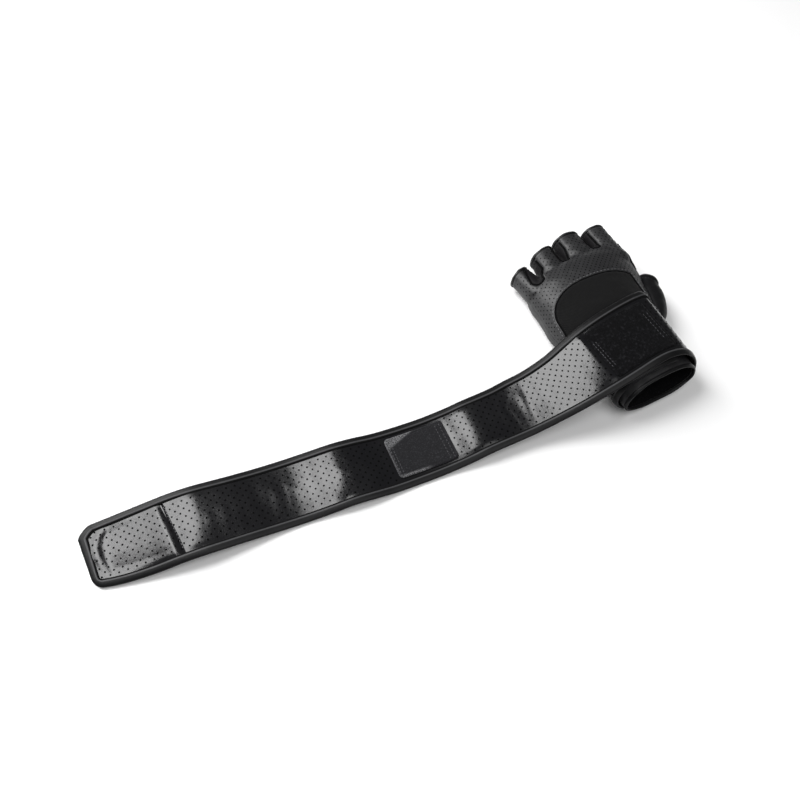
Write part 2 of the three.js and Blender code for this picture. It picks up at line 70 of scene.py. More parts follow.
# %% Camera at the photograph's angle
HAND_X = 190.56
HAND_Y = -0.46
MM = 0.001


def new_object(name, data):
    made = bpy.data.objects.new(name, data)
    bpy.context.scene.collection.objects.link(made)
    return made


aim = Vector((6.56, -0.46, 0.0)) * MM
eye = Vector((-116.68, -290.79, 504.76)) * MM
camera_data = bpy.data.cameras.new("camera")
camera_data.lens = 33.75
camera_data.sensor_width = 36
camera = new_object("camera", camera_data)
camera.location = eye
camera.rotation_mode = "QUATERNION"
camera.rotation_quaternion = (aim - eye).to_track_quat("-Z", "Y")
bpy.context.scene.camera = camera
print("camera distance in mm:", round((aim - eye).length / MM))

# %% [markdown]
# ## Finishes
# All of the glove is black, so gloss, grain and thread tell its materials apart. Shader arithmetic is
# easier to read as Python, so a small class lets sockets be added and multiplied. Patterns use the
# object's own coordinates in metres, which makes a scale of 1000 one cell for each millimetre.

# %% Node helpers
def add_node(tree, kind, settings=None, inputs=None):
    node = tree.nodes.new(kind)
    for name, value in (settings or {}).items():
        setattr(node, name, value)
    for name, value in (inputs or {}).items():
        if isinstance(value, Value):
            value = value.socket
        if isinstance(value, bpy.types.NodeSocket):
            tree.links.new(value, node.inputs[name])
        else:
            node.inputs[name].default_value = value
    return node


class Value:
    """A number in a shader tree that takes part in Python arithmetic."""

    def __init__(self, tree, socket):
        self.tree = tree
        self.socket = socket

    def math(self, operation, *others):
        terms = dict(enumerate([self, *others]))
        node = add_node(self.tree, "ShaderNodeMath", {"operation": operation}, terms)
        return Value(self.tree, node.outputs[0])

    def __add__(self, other):
        return self.math("ADD", other)

    def __sub__(self, other):
        return self.math("SUBTRACT", other)

    def __mul__(self, other):
        return self.math("MULTIPLY", other)

    __radd__ = __add__
    __rmul__ = __mul__

    def sine(self):
        return self.math("SINE")

    def size(self):
        return self.math("ABSOLUTE")

    def between(self, low, high):
        """Nought below low, one above high, and a smooth step from one to the other."""
        step = {"interpolation_type": "SMOOTHSTEP"}
        ends = {"Value": self, "From Min": low, "From Max": high}
        return Value(self.tree, add_node(self.tree, "ShaderNodeMapRange", step, ends).outputs["Result"])


class Finish:
    """A material with one Principled shader, and the textures that feed it."""

    def __init__(self, name, colour, roughness, **constants):
        self.material = bpy.data.materials.new(name)
        self.material.use_nodes = True
        self.tree = self.material.node_tree
        self.shader = self.tree.nodes["Principled BSDF"]
        self.base = (*colour, 1)
        self.shader.inputs["Base Color"].default_value = self.base
        self.shader.inputs["Roughness"].default_value = roughness
        self.material.diffuse_color = self.base
        self.material.roughness = roughness
        for socket, value in constants.items():
            self.shader.inputs[socket.replace("_", " ")].default_value = value
        self.place = self.node("ShaderNodeTexCoord").outputs["Object"]

    def node(self, kind, settings=None, inputs=None):
        return add_node(self.tree, kind, settings, inputs)

    def noise(self, scale, detail=2.0):
        inputs = {"Vector": self.place, "Scale": scale, "Detail": detail}
        return Value(self.tree, self.node("ShaderNodeTexNoise", None, inputs).outputs[0])

    def cells(self, scale):
        inputs = {"Vector": self.place, "Scale": scale}
        return Value(self.tree, self.node("ShaderNodeTexVoronoi", None, inputs).outputs["Distance"])

    def axes(self, vector=None):
        split = self.node("ShaderNodeSeparateXYZ", None, {"Vector": vector or self.place})
        return [Value(self.tree, split.outputs[i]) for i in range(3)]

    def map(self, name):
        return self.node("ShaderNodeUVMap", {"uv_map": name}).outputs["UV"]

    def feed(self, socket, value):
        self.tree.links.new(value.socket, self.shader.inputs[socket])

    def tint(self, share, other):
        """Turns the colour towards another one, after any earlier tint."""
        inputs = {0: share, 6: self.base, 7: (*other, 1)}
        self.base = self.node("ShaderNodeMix", {"data_type": "RGBA"}, inputs).outputs[2]
        self.tree.links.new(self.base, self.shader.inputs["Base Color"])

    def relief(self, height, depth_mm, strength=1.0):
        inputs = {"Height": height, "Distance": depth_mm * MM, "Strength": strength}
        bump = self.node("ShaderNodeBump", None, inputs)
        self.tree.links.new(bump.outputs["Normal"], self.shader.inputs["Normal"])


print("shader sums take part in Python's own:", Value.__name__, "and", Finish.__name__)

# %% [markdown]
# Leather gets a pebble grain from Voronoi cells, broken up by noise, and its gloss wanders a little
# over the piece, as hide does. The glove's leather is satin and soft. The strap's is coated and
# shinier, with a smaller relief.

# %% Leathers
def grey(level, blue):
    """A grey with its blue part given apart, because black dyes lean a little to blue."""
    return (level, level, blue)


def leather(name, colour, roughness, grain, relief, worn, gloss=0.5):
    finish = Finish(name, colour, roughness, Specular_IOR_Level=gloss)
    pebbles = finish.cells(grain) + 0.5 * finish.cells(grain * 2.3)
    creases = finish.noise(grain * 0.35, 4.0)
    patches = finish.noise(28.0, 3.0)
    finish.relief(0.55 * pebbles + creases, relief, 0.8)
    finish.feed("Roughness", roughness - 0.07 + 0.14 * patches + 0.05 * creases)
    finish.tint(patches.between(0.35, 0.75), worn)
    return finish.material


GLOVE_LEATHER = leather("glove_leather", grey(0.010, 0.011), 0.48, 950.0, 0.08, grey(0.015, 0.016))
THUMB_LEATHER = leather("thumb_leather", grey(0.0045, 0.005), 0.5, 950.0, 0.08, grey(0.007, 0.0075), 0.12)
HEM_LEATHER = leather("hem_leather", grey(0.0035, 0.004), 0.45, 1100.0, 0.07, grey(0.006, 0.0065), 0.35)
STRAP_LEATHER = leather("strap_leather", grey(0.0055, 0.0063), 0.165, 1300.0, 0.03,
                        grey(0.0075, 0.0083), 0.38)
print("leathers: glove, thumb, hem, strap")

# %% [markdown]
# The panel is a knitted elastic with a fine diagonal rib. The side strips are a smooth knit. Tape and
# lining are woven, and the velvet is a short loop pile that takes nearly all light. The middle patch's
# lighter base is a painted sheen, and where its sheen map is 1 the pile shows grey, a painted sheen too.

# %% Fabrics, thread and holes
def ribbed(name, colour, roughness, pitch_mm, relief, direction, sheen):
    finish = Finish(name, colour, roughness, Specular_IOR_Level=0.15,
                    Sheen_Weight=sheen, Sheen_Roughness=0.5)
    x, y, z = finish.axes()
    turn = 2000 * math.pi / pitch_mm
    ribs = ((x * direction[0] + y * direction[1] + z * direction[2]) * turn).sine()
    finish.relief(ribs + 1.2 * finish.noise(1800.0, 2.0), relief, 0.7)
    finish.feed("Roughness", roughness + 0.08 * finish.noise(300.0))
    finish.tint(ribs.between(-1.0, 1.0), tuple(c * 0.55 for c in colour))
    return finish.material


def fuzzy(name, colour, scale, relief, sheen, fleck_and_glint=3.5, painted_sheen_colour=None):
    finish = Finish(name, colour, 0.95, Sheen_Weight=sheen, Sheen_Roughness=0.6, Specular_IOR_Level=0.05)
    pile = finish.noise(scale, 3.0)
    finish.relief(pile, relief, 1.0)
    # Lighter flecks where the pile's bump is highest: partly the fabric's own tone, partly a painted
    # highlight on its raised pile.
    finish.tint(pile.between(0.5, 0.75), tuple(c * fleck_and_glint for c in colour))
    if painted_sheen_colour:
        # Painted sheen: the pile turns grey where its sheen map is 1.
        nap = finish.axes(finish.map("nap"))[0]
        finish.tint(nap * finish.noise(scale * 1.6, 2.0).between(0.35, 0.6), painted_sheen_colour)
    return finish.material


def taped(name, colour, roughness):
    finish = Finish(name, colour, roughness, Specular_IOR_Level=0.14)
    u, v, _ = finish.axes(finish.map("tape"))
    weave = (u * 9.0).sine() * (v * 9.0).sine()
    # Painted shade: the band next to the leather, under the lip, is made near black, and rough.
    groove = v.between(3.0, 2.4)
    finish.relief(0.4 * weave + finish.noise(900.0, 3.0), 0.04, 0.7)
    finish.feed("Roughness", roughness + 0.10 * finish.noise(120.0, 3.0) + 0.5 * groove)
    finish.tint(finish.noise(90.0, 3.0).between(0.3, 0.8), tuple(c * 1.4 for c in colour))
    # Painted highlight: a light grey line along the lip near the tape's inner edge.
    finish.tint((v - 4.0).size().between(1.1, 0.7), grey(0.045, 0.047))
    finish.tint(groove, grey(0.001, 0.001))
    return finish.material


ELASTIC = ribbed("ribbed_elastic", grey(0.0048, 0.0050), 0.85, 1.15, 0.12, (0.8, 0.6, 0.0), 0.02)
SIDE_STRIP = ribbed("side_strip", (0.0040, 0.0034, 0.0044), 0.6, 0.5, 0.03, (0.0, 0.7, 0.7), 0.02)
LINING = fuzzy("lining", grey(0.003, 0.0033), 900.0, 0.10, 0.0)
# The middle patch's lighter base colour is a painted sheen on its velvet.
PATCH_WITH_PAINTED_SHEEN = fuzzy("patch_velvet", grey(0.015, 0.0165), 950.0, 0.25, 0.03, 2.4, grey(0.16, 0.165))
# The wrist pad's strong flecks are partly the pile's own tone and partly a painted highlight on its loops.
VELVET = fuzzy("velvet", grey(0.0030, 0.0034), 520.0, 0.3, 0.03, 4.5)
TAPE = taped("binding_tape", grey(0.0055, 0.0058), 0.33)
THREAD = fuzzy("thread", grey(0.075, 0.08), 2500.0, 0.03, 0.05)
# Painted glint: the glossy dark thread of the panel and the end seam is given a light grey.
GLINT_PAINTED_THREAD = fuzzy("glove_thread", grey(0.13, 0.135), 2500.0, 0.03, 0.0)
WAXED_THREAD = Finish("waxed_thread", grey(0.012, 0.013), 0.28).material
CORD = fuzzy("black_cord", grey(0.0025, 0.0027), 800.0, 0.02, 0.0)
HOLE = fuzzy("punched_hole", grey(0.0015, 0.0015), 800.0, 0.02, 0.0)
print("materials:", len(bpy.data.materials))

# %% [markdown]
# ## The hand inside the glove
# Nothing of a hand is shown, but the glove keeps its form. The same tables that shaped the solids give
# this form again, with many more points: sections of the hand, four finger sleeves and the thumb's.

# %% Tables of the form, in millimetres in the hand's own frame
GLOVE_WALL = 1.8
SEAM_GAP = 0.3
CUFF_Y = -78
HAND_NAMES = ("y", "left", "right", "floor", "top", "waist", "square", "slant", "lean")
HAND = np.array([
    (-78, -32.5, 34.5, 4.6, 36.0, 17, 2.3, 0.09, 0.13),
    (-55, -34.3, 32.6, 4.8, 37.5, 17, 2.4, 0.06, 0.06),
    (-33, -38.6, 31.0, 4.8, 39.5, 16, 2.6, 0.03, 0.0),
    (-21, -44.6, 34.8, 0.3, 40.3, 14, 3.2, 0.0, 0.0),
    (-8, -48.8, 41.0, -0.5, 40.5, 12, 4.0, 0.0, 0.0),
    (8, -49.6, 45.0, -0.5, 40.0, 11, 4.0, 0.0, 0.0),
    (25, -49.6, 49.2, -0.5, 39.0, 11, 4.0, 0.0, 0.0),
    (40, -49.0, 51.0, -0.5, 37.5, 10.5, 4.0, 0.03, 0.0),
    (51, -46.5, 51.0, 0.7, 34.5, 11, 3.0, 0.1, 0.0),
    (57.5, -41.0, 48.0, 4.0, 29.5, 13, 2.4, 0.14, 0.0),
])
STALLS = {
    "little": dict(root=(-37.5, 38, 14.5), tip=(-43.6, 66, 13), wide=(24, 18.6), deep=(25, 19), turned=20),
    "ring": dict(root=(-17.3, 40, 17.5), tip=(-17.4, 76, 16.5), wide=(26.8, 23), deep=(29, 22), turned=13),
    "middle": dict(root=(9.5, 42, 18), tip=(9, 82, 17), wide=(30, 26), deep=(31, 25), turned=2),
    "index": dict(root=(36.5, 42, 17.5), tip=(36.2, 81.2, 16), wide=(27, 22), deep=(30, 24), turned=-2),
}
THUMB = np.array([
    (27.5, -28, 15.5, 15, 18, -17),
    (35.2, -17, 15.0, 22.8, 25, -20),
    (41.2, -6, 14.2, 24.4, 26, -25),
    (47.7, 5.4, 13.4, 21.2, 24.5, -37),
    (52.4, 17.0, 12.4, 18.2, 21.8, -54),
])
print("hand sections:", len(HAND), "sleeves:", len(STALLS) + 1)


# %% Sums that come back often
def unit(value):
    """A value held between 0 and 1."""
    return np.clip(value, 0, 1)


def smooth_step(share):
    share = unit(share)
    return share * share * (3 - 2 * share)


def hill(distance, width):
    """A rounded hill: 1 in its middle, and nearly 0 at two widths from there."""
    return np.exp(-((distance / width) ** 2))


def sizes(vectors):
    return np.linalg.norm(vectors, axis=1)


def run_along(line):
    """The length of a line of points up to each of them."""
    return np.concatenate([[0], np.cumsum(sizes(np.diff(line, axis=0)))])


def full_turn(sides):
    return np.arange(sides) / sides * 2 * math.pi


def power(value, exponent):
    return np.sign(value) * np.abs(value) ** exponent


print("a hill at one and at two widths:", hill(1.0, 1.0).round(3), hill(2.0, 1.0).round(3))


# %% Curves through a table's rows
def smooth_column(keys, values, at):
    """Value between a table's rows, on a smooth curve through them."""
    at = np.atleast_1d(np.asarray(at, float))
    i = np.clip(np.searchsorted(keys, at) - 1, 0, len(keys) - 2)
    before, after = np.maximum(i - 1, 0), np.minimum(i + 2, len(keys) - 1)
    span = keys[i + 1] - keys[i]
    t = unit((at - keys[i]) / span)
    slope_a = (values[i + 1] - values[before]) / (keys[i + 1] - keys[before])
    slope_b = (values[after] - values[i]) / (keys[after] - keys[i])
    h = t * t * (3 - 2 * t)
    bend = (t**3 - 2 * t * t + t) * slope_a + (t**3 - t * t) * slope_b
    return values[i] * (1 - h) + values[i + 1] * h + bend * span


def turned_ring(centre, side, wide, deep, sides):
    angle = full_turn(sides)
    across, up = power(np.cos(angle), 0.92), power(np.sin(angle), 0.92)
    ring = np.asarray(centre, float) + np.outer(across * wide / 2, side)
    ring[:, 2] += up * deep / 2
    return ring


print("hand's left side at y = 0:", smooth_column(HAND[:, 0], HAND[:, 1], 0).round(1))


# %% Rings of the hand, the sleeves and the thumb
def hand_ring(y, grow=0.0, shift=0.0, sides=112, angles=None):
    at = {name: smooth_column(HAND[:, 0], HAND[:, k], y)[0] for k, name in enumerate(HAND_NAMES) if k}
    angle = full_turn(sides) if angles is None else np.asarray(angles, float)
    left, right = at["left"] - grow, at["right"] + grow
    floor, top = at["floor"] - grow, at["top"] + grow
    upper = np.sin(angle) >= 0
    bend = np.where(upper, 2 / 2.25, 2 / at["square"])
    x = (left + right) / 2 + (right - left) / 2 * power(np.cos(angle), bend)
    z = at["waist"] + np.where(upper, top - at["waist"], at["waist"] - floor) * power(np.sin(angle), bend)
    return np.stack([x, y + at["slant"] * x + at["lean"] * (z - at["waist"]) + shift, z], 1)


def on_past(ends, t):
    """Straight from one value at 0 to another at 1, and on past both."""
    first, last = ends
    return np.interp(min(t, 1.3), (-1, 0, 1, 2), (2 * first - last, first, last, 2 * last - first))


def stall_ring(finger, t, grow=0.0, sides=56):
    stall = STALLS[finger]
    root, tip = np.array(stall["root"], float), np.array(stall["tip"], float)
    turn = math.radians(stall["turned"]) * min(t, 1)
    wide, deep = on_past(stall["wide"], t), on_past(stall["deep"], t)
    side = (math.cos(turn), math.sin(turn), 0)
    return turned_ring(root + (tip - root) * t, side, wide + 2 * grow, deep + 2 * grow, sides)


def thumb_ring(t, grow=0.0, sides=56):
    steps = np.arange(len(THUMB), dtype=float)
    x, y, z, wide, deep, turned = (smooth_column(steps, THUMB[:, k], t)[0] for k in range(6))
    turn = math.radians(turned)
    past = max(t - 4, 0)
    side = (math.cos(turn), math.sin(turn), 0)
    return turned_ring((x + 10 * past, y + 9.8 * past, z), side, wide + 2 * grow, deep + 2 * grow, sides)


print("cuff ring's middle:", hand_ring(CUFF_Y).mean(0).round(1))


# %% Meshes from arrays
def tube(rings, closed=False):
    """Points and faces of a body through equal rings, with its two ends closed unless it is a loop."""
    count = len(rings[0])
    spans = len(rings) if closed else len(rings) - 1
    i, k = np.meshgrid(np.arange(spans), np.arange(count), indexing="ij")
    j, m = (i + 1) % len(rings), (k + 1) % count
    corners = np.stack([i * count + k, i * count + m, j * count + m, j * count + k], -1)
    quads = corners.reshape(-1, 4).tolist()
    if not closed:
        end = (len(rings) - 1) * count
        quads.append(list(range(count))[::-1])
        quads.append([end + n for n in range(count)])
    return np.concatenate(rings), quads


def mesh_object(name, points, faces, finishes=(), facing=True):
    """An object in the scene, its points in the unit they are given in, its faces turned outwards."""
    mesh = bpy.data.meshes.new(name)
    mesh.from_pydata(np.asarray(points, float).tolist(), [], [list(map(int, f)) for f in faces])
    made = new_object(name, mesh)
    if facing and volume(mesh) < 0:
        mesh.flip_normals()
    for finish in finishes:
        mesh.materials.append(finish)
    return made


def volume(mesh):
    mesh.calc_loop_triangles()
    order = np.zeros(len(mesh.loop_triangles) * 3, int)
    mesh.loop_triangles.foreach_get("vertices", order)
    a, b, c = points_of(mesh)[order.reshape(-1, 3).T]
    return float((a * np.cross(b, c)).sum() / 6)


def points_of(mesh):
    flat = np.zeros(len(mesh.vertices) * 3)
    mesh.vertices.foreach_get("co", flat)
    return flat.reshape(-1, 3)


def evaluated(made):
    """A plain mesh of the object with its modifiers applied, in place of the old mesh."""
    shot = made.evaluated_get(bpy.context.evaluated_depsgraph_get())
    mesh = bpy.data.meshes.new_from_object(shot)
    made.modifiers.clear()
    old, made.data = made.data, mesh
    mesh.name = made.name
    bpy.data.meshes.remove(old)
    return made


print("faces of a tube through two squares:", len(tube([np.zeros((4, 3))] * 2)[1]))

# %% [markdown]
# ## One smooth skin
# Sewn leather flows from the back of the hand into each sleeve with soft hollows between the fingers.
# Overlapping tubes have hard lines there, so the tubes are joined by a voxel remesh and then relaxed.
# Relaxing shrinks a shape, so every second pass pushes it back out by nearly as much.

# %% Join and relax the form
def form_parts():
    rows = np.concatenate([[-90, -84], np.arange(CUFF_Y, 57.6, 2.6)])
    rings = [hand_ring(max(y, CUFF_Y), 0.0, min(y - CUFF_Y, 0)) for y in rows]
    rings += [hand_ring(57.5, -1.0, 1.2), hand_ring(57.5, -3.5, 2.2), hand_ring(57.5, -9.0, 3.0)]
    parts = [tube(rings)]
    for finger in STALLS:
        rings = [stall_ring(finger, -0.3, -6)] + [stall_ring(finger, t) for t in (0.08, 0.4, 0.7, 1, 1.2)]
        parts.append(tube(rings))
    parts.append(tube([thumb_ring(t) for t in np.linspace(0, 4.6, 24)]))
    return parts


def neighbours(mesh):
    pairs = np.zeros(len(mesh.edges) * 2, int)
    mesh.edges.foreach_get("vertices", pairs)
    pairs = pairs.reshape(-1, 2)
    return np.concatenate([pairs, pairs[:, ::-1]])


def averaged(values, links):
    total = np.zeros_like(values)
    np.add.at(total, links[:, 0], values[links[:, 1]])
    count = np.bincount(links[:, 0], minlength=len(values)).astype(float)
    return total / count[:, None]


def relaxed(points, links, rounds):
    for _ in range(rounds):
        for push in (0.55, -0.53):
            points = points + push * (averaged(points, links) - points)
    return points


body = None
for part in form_parts():
    tool = mesh_object("sleeve", *part)
    if body is None:
        body = tool
        continue
    join = body.modifiers.new("join", "BOOLEAN")
    join.operation, join.solver, join.object = "UNION", "MANIFOLD", tool
    evaluated(body)
    bpy.data.objects.remove(tool)
remesh = body.modifiers.new("remesh", "REMESH")
remesh.mode = "VOXEL"
remesh.voxel_size = 1.0
evaluated(body)
links = neighbours(body.data)
skin = relaxed(points_of(body.data), links, 16)
soft = relaxed(skin, links, 60)
across_knuckles = np.exp(-(((skin[:, 1] - 55) / 9) ** 4)) * unit((skin[:, 2] - 23) / 5)
skin += across_knuckles[:, None] * (soft - skin)
skin[:, 0] -= 2.0 * hill(skin[:, 1] - 54, 8) * unit((skin[:, 0] - 38) / 10)
body.data.vertices.foreach_set("co", skin.ravel())
body.data.update()
print("skin points:", len(skin), "box:", skin.min(0).round(1), skin.max(0).round(1))

# %% [markdown]
# ## Seams in plan
# The panel, the strips between the fingers and the thumb piece are sewn to the back along these lines.
# Each is a list of points in plan, for measuring how far the skin is from its nearest seam.

# %% Seam lines
def bezier(a, b, c, d, steps=20):
    t = np.linspace(0, 1, steps)[:, None]
    a, b, c, d = (np.array(p, float) for p in (a, b, c, d))
    return (1 - t) ** 3 * a + 3 * (1 - t) ** 2 * t * b + 3 * (1 - t) * t * t * c + t**3 * d


def panel_line(grow=0.0):
    left, top, corner_x, corner_y = -44.5 - grow, 27 + grow, 31 + grow, 19.5 + grow
    first = bezier((left, 1), (left, top * 0.72), (left * 0.68, top), (-2, top))
    corner = (corner_x, corner_y)
    second = bezier((-2, top), (corner_x * 0.45, top), (corner_x * 0.8, corner_y + 4.5), corner)
    return np.concatenate([[(left, -30 - grow)], first, second[1:], [(35 + grow, -30 - grow)]])


WEBS = {
    "little_ring": dict(x=-38.2, y=49.5, radius=5.3, left=-40.3, right=-27.3, shoulder=60),
    "ring_middle": dict(x=-7.0, y=60.5, radius=4.6, left=-10.5, right=-0.5, shoulder=70),
    "middle_index": dict(x=24.0, y=62.0, radius=4.3, left=19.0, right=28.3, shoulder=68),
}


def web_line(name, grow=0.0, tips=100):
    web = WEBS[name]
    angle = np.linspace(math.pi, 2 * math.pi, 24)
    radius, right = web["radius"] + grow, web["right"] + grow
    bottom = np.stack([web["x"] + radius * np.cos(angle), web["y"] + radius * np.sin(angle)], 1)
    return np.concatenate([[(web["left"] - grow, tips)], bottom, [(right, web["shoulder"]), (right, tips)]])


THUMB_SEAM = np.array([(28.0, -34.5), (32.5, -22), (36.5, -10), (41.5, 7), (44.5, 28)])
THUMB_SIDE_X = 90


def thumb_line(grow=0.0):
    low, high = THUMB_SEAM[[0, -1], 1]
    ys = np.linspace(low, high, 26)
    xs = smooth_column(THUMB_SEAM[:, 1], THUMB_SEAM[:, 0], ys)
    seam = np.stack([xs - grow, ys], 1)
    seam[0, 1] -= grow
    seam[-1, 1] += grow
    return np.concatenate([[(THUMB_SIDE_X, low - grow)], seam, [(THUMB_SIDE_X, high + grow)]])


print("panel outline points:", len(panel_line()), "webs:", len(WEBS))


# %% Distance from the seams
def line_distance(points, line):
    """Distance in plan from each point to a line of points, and the direction away from it."""
    best = np.full(len(points), 1e9)
    away = np.zeros((len(points), 2))
    flat = points[:, :2]
    for a, b in zip(line[:-1], line[1:]):
        t = unit(((flat - a) @ (b - a)) / max((b - a) @ (b - a), 1e-9))
        gap = flat - (a + t[:, None] * (b - a))
        size = sizes(gap)
        nearer = size < best
        best[nearer] = size[nearer]
        away[nearer] = gap[nearer] / np.maximum(size[nearer], 1e-6)[:, None]
    return best, away


def on_surface(distance, away, normals):
    """Turns a distance in plan into the longer one along a sloping surface."""
    slope = (away * normals[:, :2]).sum(1)
    return distance / np.sqrt(np.clip(1 - slope**2, 0.04, 1))


def side_seam_height(x):
    return 16 + 0.045 * x


PANEL_SEAM_FROM = 21
LITTLE_SIDE_X = -25
FAR_OFF = 99


def seam_distance(points, normals):
    """Distance along the surface from each point to the nearest seam."""
    lines = [panel_line(), *(web_line(name) for name in WEBS), thumb_line()[1:-1]]
    near = [on_surface(*line_distance(points, line), normals) for line in lines]
    near[0] = np.where(points[:, 2] > PANEL_SEAM_FROM, near[0], FAR_OFF)
    level = np.abs(points[:, 2] - side_seam_height(points[:, 0]))
    level = level / np.sqrt(np.clip(1 - normals[:, 2] ** 2, 0.04, 1))
    seam_x = np.interp(points[:, 1], THUMB_SEAM[:, 1], THUMB_SEAM[:, 0])
    thumb_side = (points[:, 0] > seam_x) & (points[:, 1] < THUMB_SEAM[-1, 1])
    near.append(np.where(thumb_side | (points[:, 0] < LITTLE_SIDE_X), FAR_OFF, level))
    return np.min(near, axis=0)


def normals_of(points, faces):
    corners = points[faces]
    face = np.cross(corners[:, 2] - corners[:, 0], corners[:, 3] - corners[:, 1])
    total = np.zeros_like(points)
    for k in range(4):
        np.add.at(total, faces[:, k], face)
    return total / np.maximum(sizes(total), 1e-12)[:, None]


quads = np.array([p.vertices[:] for p in body.data.polygons if len(p.vertices) == 4])
normals = normals_of(skin, quads)
if volume(body.data) < 0:
    normals = -normals
seam_gap = seam_distance(skin, normals)
print("skin within 2 mm of a seam:", int((seam_gap < 2).sum()), "of", len(skin))

# %% [markdown]
# ## Leather that has been sewn and worn
# A seam pulls the leather down into a narrow valley, with a soft swell on each side. Where fingers
# bend, shallow folds cross the leather. These are moves of the skin's points along their normals, the
# way a sculptor's brush would make them, because a cloth simulation can't be steered to given folds.

# %% Valleys, folds and soft unevenness
def waves(points, scale, seed):
    """Smooth unevenness between about -1 and 1, the sum of a few slanting waves."""
    chance = np.random.default_rng(seed)
    total = np.zeros(len(points))
    for _ in range(9):
        direction = chance.normal(size=3)
        direction /= np.linalg.norm(direction)
        length = scale * chance.uniform(0.7, 1.6)
        total += np.sin(points @ direction * 2 * math.pi / length + chance.uniform(0, 7))
    return total / 3.2


FOLDS = [
    dict(line=[(13.4, 55.1), (19.9, 54.6), (26.5, 52.7), (34, 52.0)], depth=0.3, width=2.6, swell=0.2),
    dict(line=[(-47, 41), (-39, 42.0), (-30, 43.5), (-22, 47.5)], depth=0.25, width=2.4, swell=0.12),
    dict(line=[(-28, 62), (-20, 60.5), (-14, 61.5)], depth=0.2, width=1.8, swell=0.1),
    dict(line=[(2, 68), (10, 66.5), (18, 67.5)], depth=0.2, width=1.8, swell=0.1),
    dict(line=[(29, 66), (36, 64.5), (45, 65.5)], depth=0.25, width=1.8, swell=0.12),
]
move = -0.7 * hill(seam_gap, 0.9) + 0.12 * hill(seam_gap - 2.6, 1.6)
upper = unit((skin[:, 2] - 14) / 6)
for fold in FOLDS:
    gap, away = line_distance(skin, np.array(fold["line"], float))
    crease = -fold["depth"] * hill(gap, fold["width"])
    swell = fold["swell"] * hill(gap - 2.6 * fold["width"], fold["width"])
    move += upper * (crease + swell)
move += 0.22 * waves(skin, 26, 3) + 0.10 * waves(skin, 9, 5) + 0.03 * waves(skin, 3.5, 7)
outer = skin + normals * move[:, None]
outer[:, 2] = np.where(outer[:, 2] < 0.6, np.maximum(outer[:, 2], 0.0), outer[:, 2])
print("deepest and highest move in mm:", move.min().round(2), move.max().round(2))

# %% [markdown]
# The leather is a closed wall, so the skin is copied inwards by its thickness and turned round. Plain
# normals would cross in tight hollows, so they are averaged first.

# %% Give the skin a wall
inward = normals_of(outer, quads) * (1 if normals_of(skin, quads)[0] @ normals[0] > 0 else -1)
for _ in range(4):
    inward = averaged(inward, links)
    inward /= sizes(inward)[:, None]
inner = outer - inward * GLOVE_WALL
inner[:, 2] = np.maximum(inner[:, 2], 1.2)
faces = [p.vertices[:] for p in body.data.polygons]
count = len(outer)
walls = faces + [[v + count for v in face[::-1]] for face in faces]
shell = mesh_object("shell", np.concatenate([outer, inner]), walls, (GLOVE_LEATHER, LINING), facing=False)
if volume(body.data) < 0:
    shell.data.flip_normals()
lining = np.zeros(len(walls), np.int32)
lining[len(faces):] = 1
shell.data.polygons.foreach_set("material_index", lining)
print("wall faces:", len(walls), "leather in cm3:", round(volume(shell.data) / 1000, 1))


# %% [markdown]
# ## Cut into sewn pieces
# The real glove is sewn from separate pieces of leather and knit. Each is cut from the one skin by a
# solid that stands over its seam lines, which keeps neighbours in line. A gap of 0.3 mm is left between
# them and shows as the seam. The boolean's manifold solver is quick and keeps every wall closed.

# %% Tools that cut along the seams
def prism(line, low, high):
    """A solid over a closed outline in plan."""
    return mesh_object("tool", *tube([np.c_[line, np.full(len(line), z)] for z in (low, high)]))


def cut(body, operation, tool, name=None):
    """A new object: the body cut by, or kept within, a tool, which is then thrown away."""
    made = new_object(name or body.name, body.data.copy())
    knife = made.modifiers.new("cut", "BOOLEAN")
    knife.operation, knife.solver, knife.object = operation, "MANIFOLD", tool
    evaluated(made)
    bpy.data.objects.remove(tool)
    return made


def above_seam(lift, reach=130, top=120):
    """A solid over the sloping plane that the side seam lies in."""
    left, right = side_seam_height(-reach) + lift, side_seam_height(reach) + lift
    section = [(-reach, left), (reach, right), (reach, top), (-reach, top)]
    return mesh_object("tool", *tube([np.array([(x, y, z) for x, z in section]) for y in (-reach, reach)]))


print("side seam's height at the middle and the little finger:", side_seam_height(0), side_seam_height(-45))


# %% Openings for the fingers, the thumb and the wrist
TOOL_REACH = 40
OPENING_EASE = 1.1


def facing(degrees):
    return np.array([-math.sin(math.radians(degrees)), math.cos(math.radians(degrees)), 0.0])


OPENINGS = {name: (partial(stall_ring, name, 1), facing(stall["turned"])) for name, stall in STALLS.items()}
OPENINGS["thumb"] = (partial(thumb_ring, 4), facing(THUMB[-1, 5]))
OPENINGS["cuff"] = (partial(hand_ring, CUFF_Y), np.array([0.0, -1.0, 0.0]))
for ring, ahead in OPENINGS.values():
    near = ring(OPENING_EASE)
    tool = mesh_object("tool", *tube([near, near + ahead * TOOL_REACH]))
    shell = cut(shell, "DIFFERENCE", tool, "shell")
print("openings cut:", len(OPENINGS), "leather in cm3:", round(volume(shell.data) / 1000, 1))

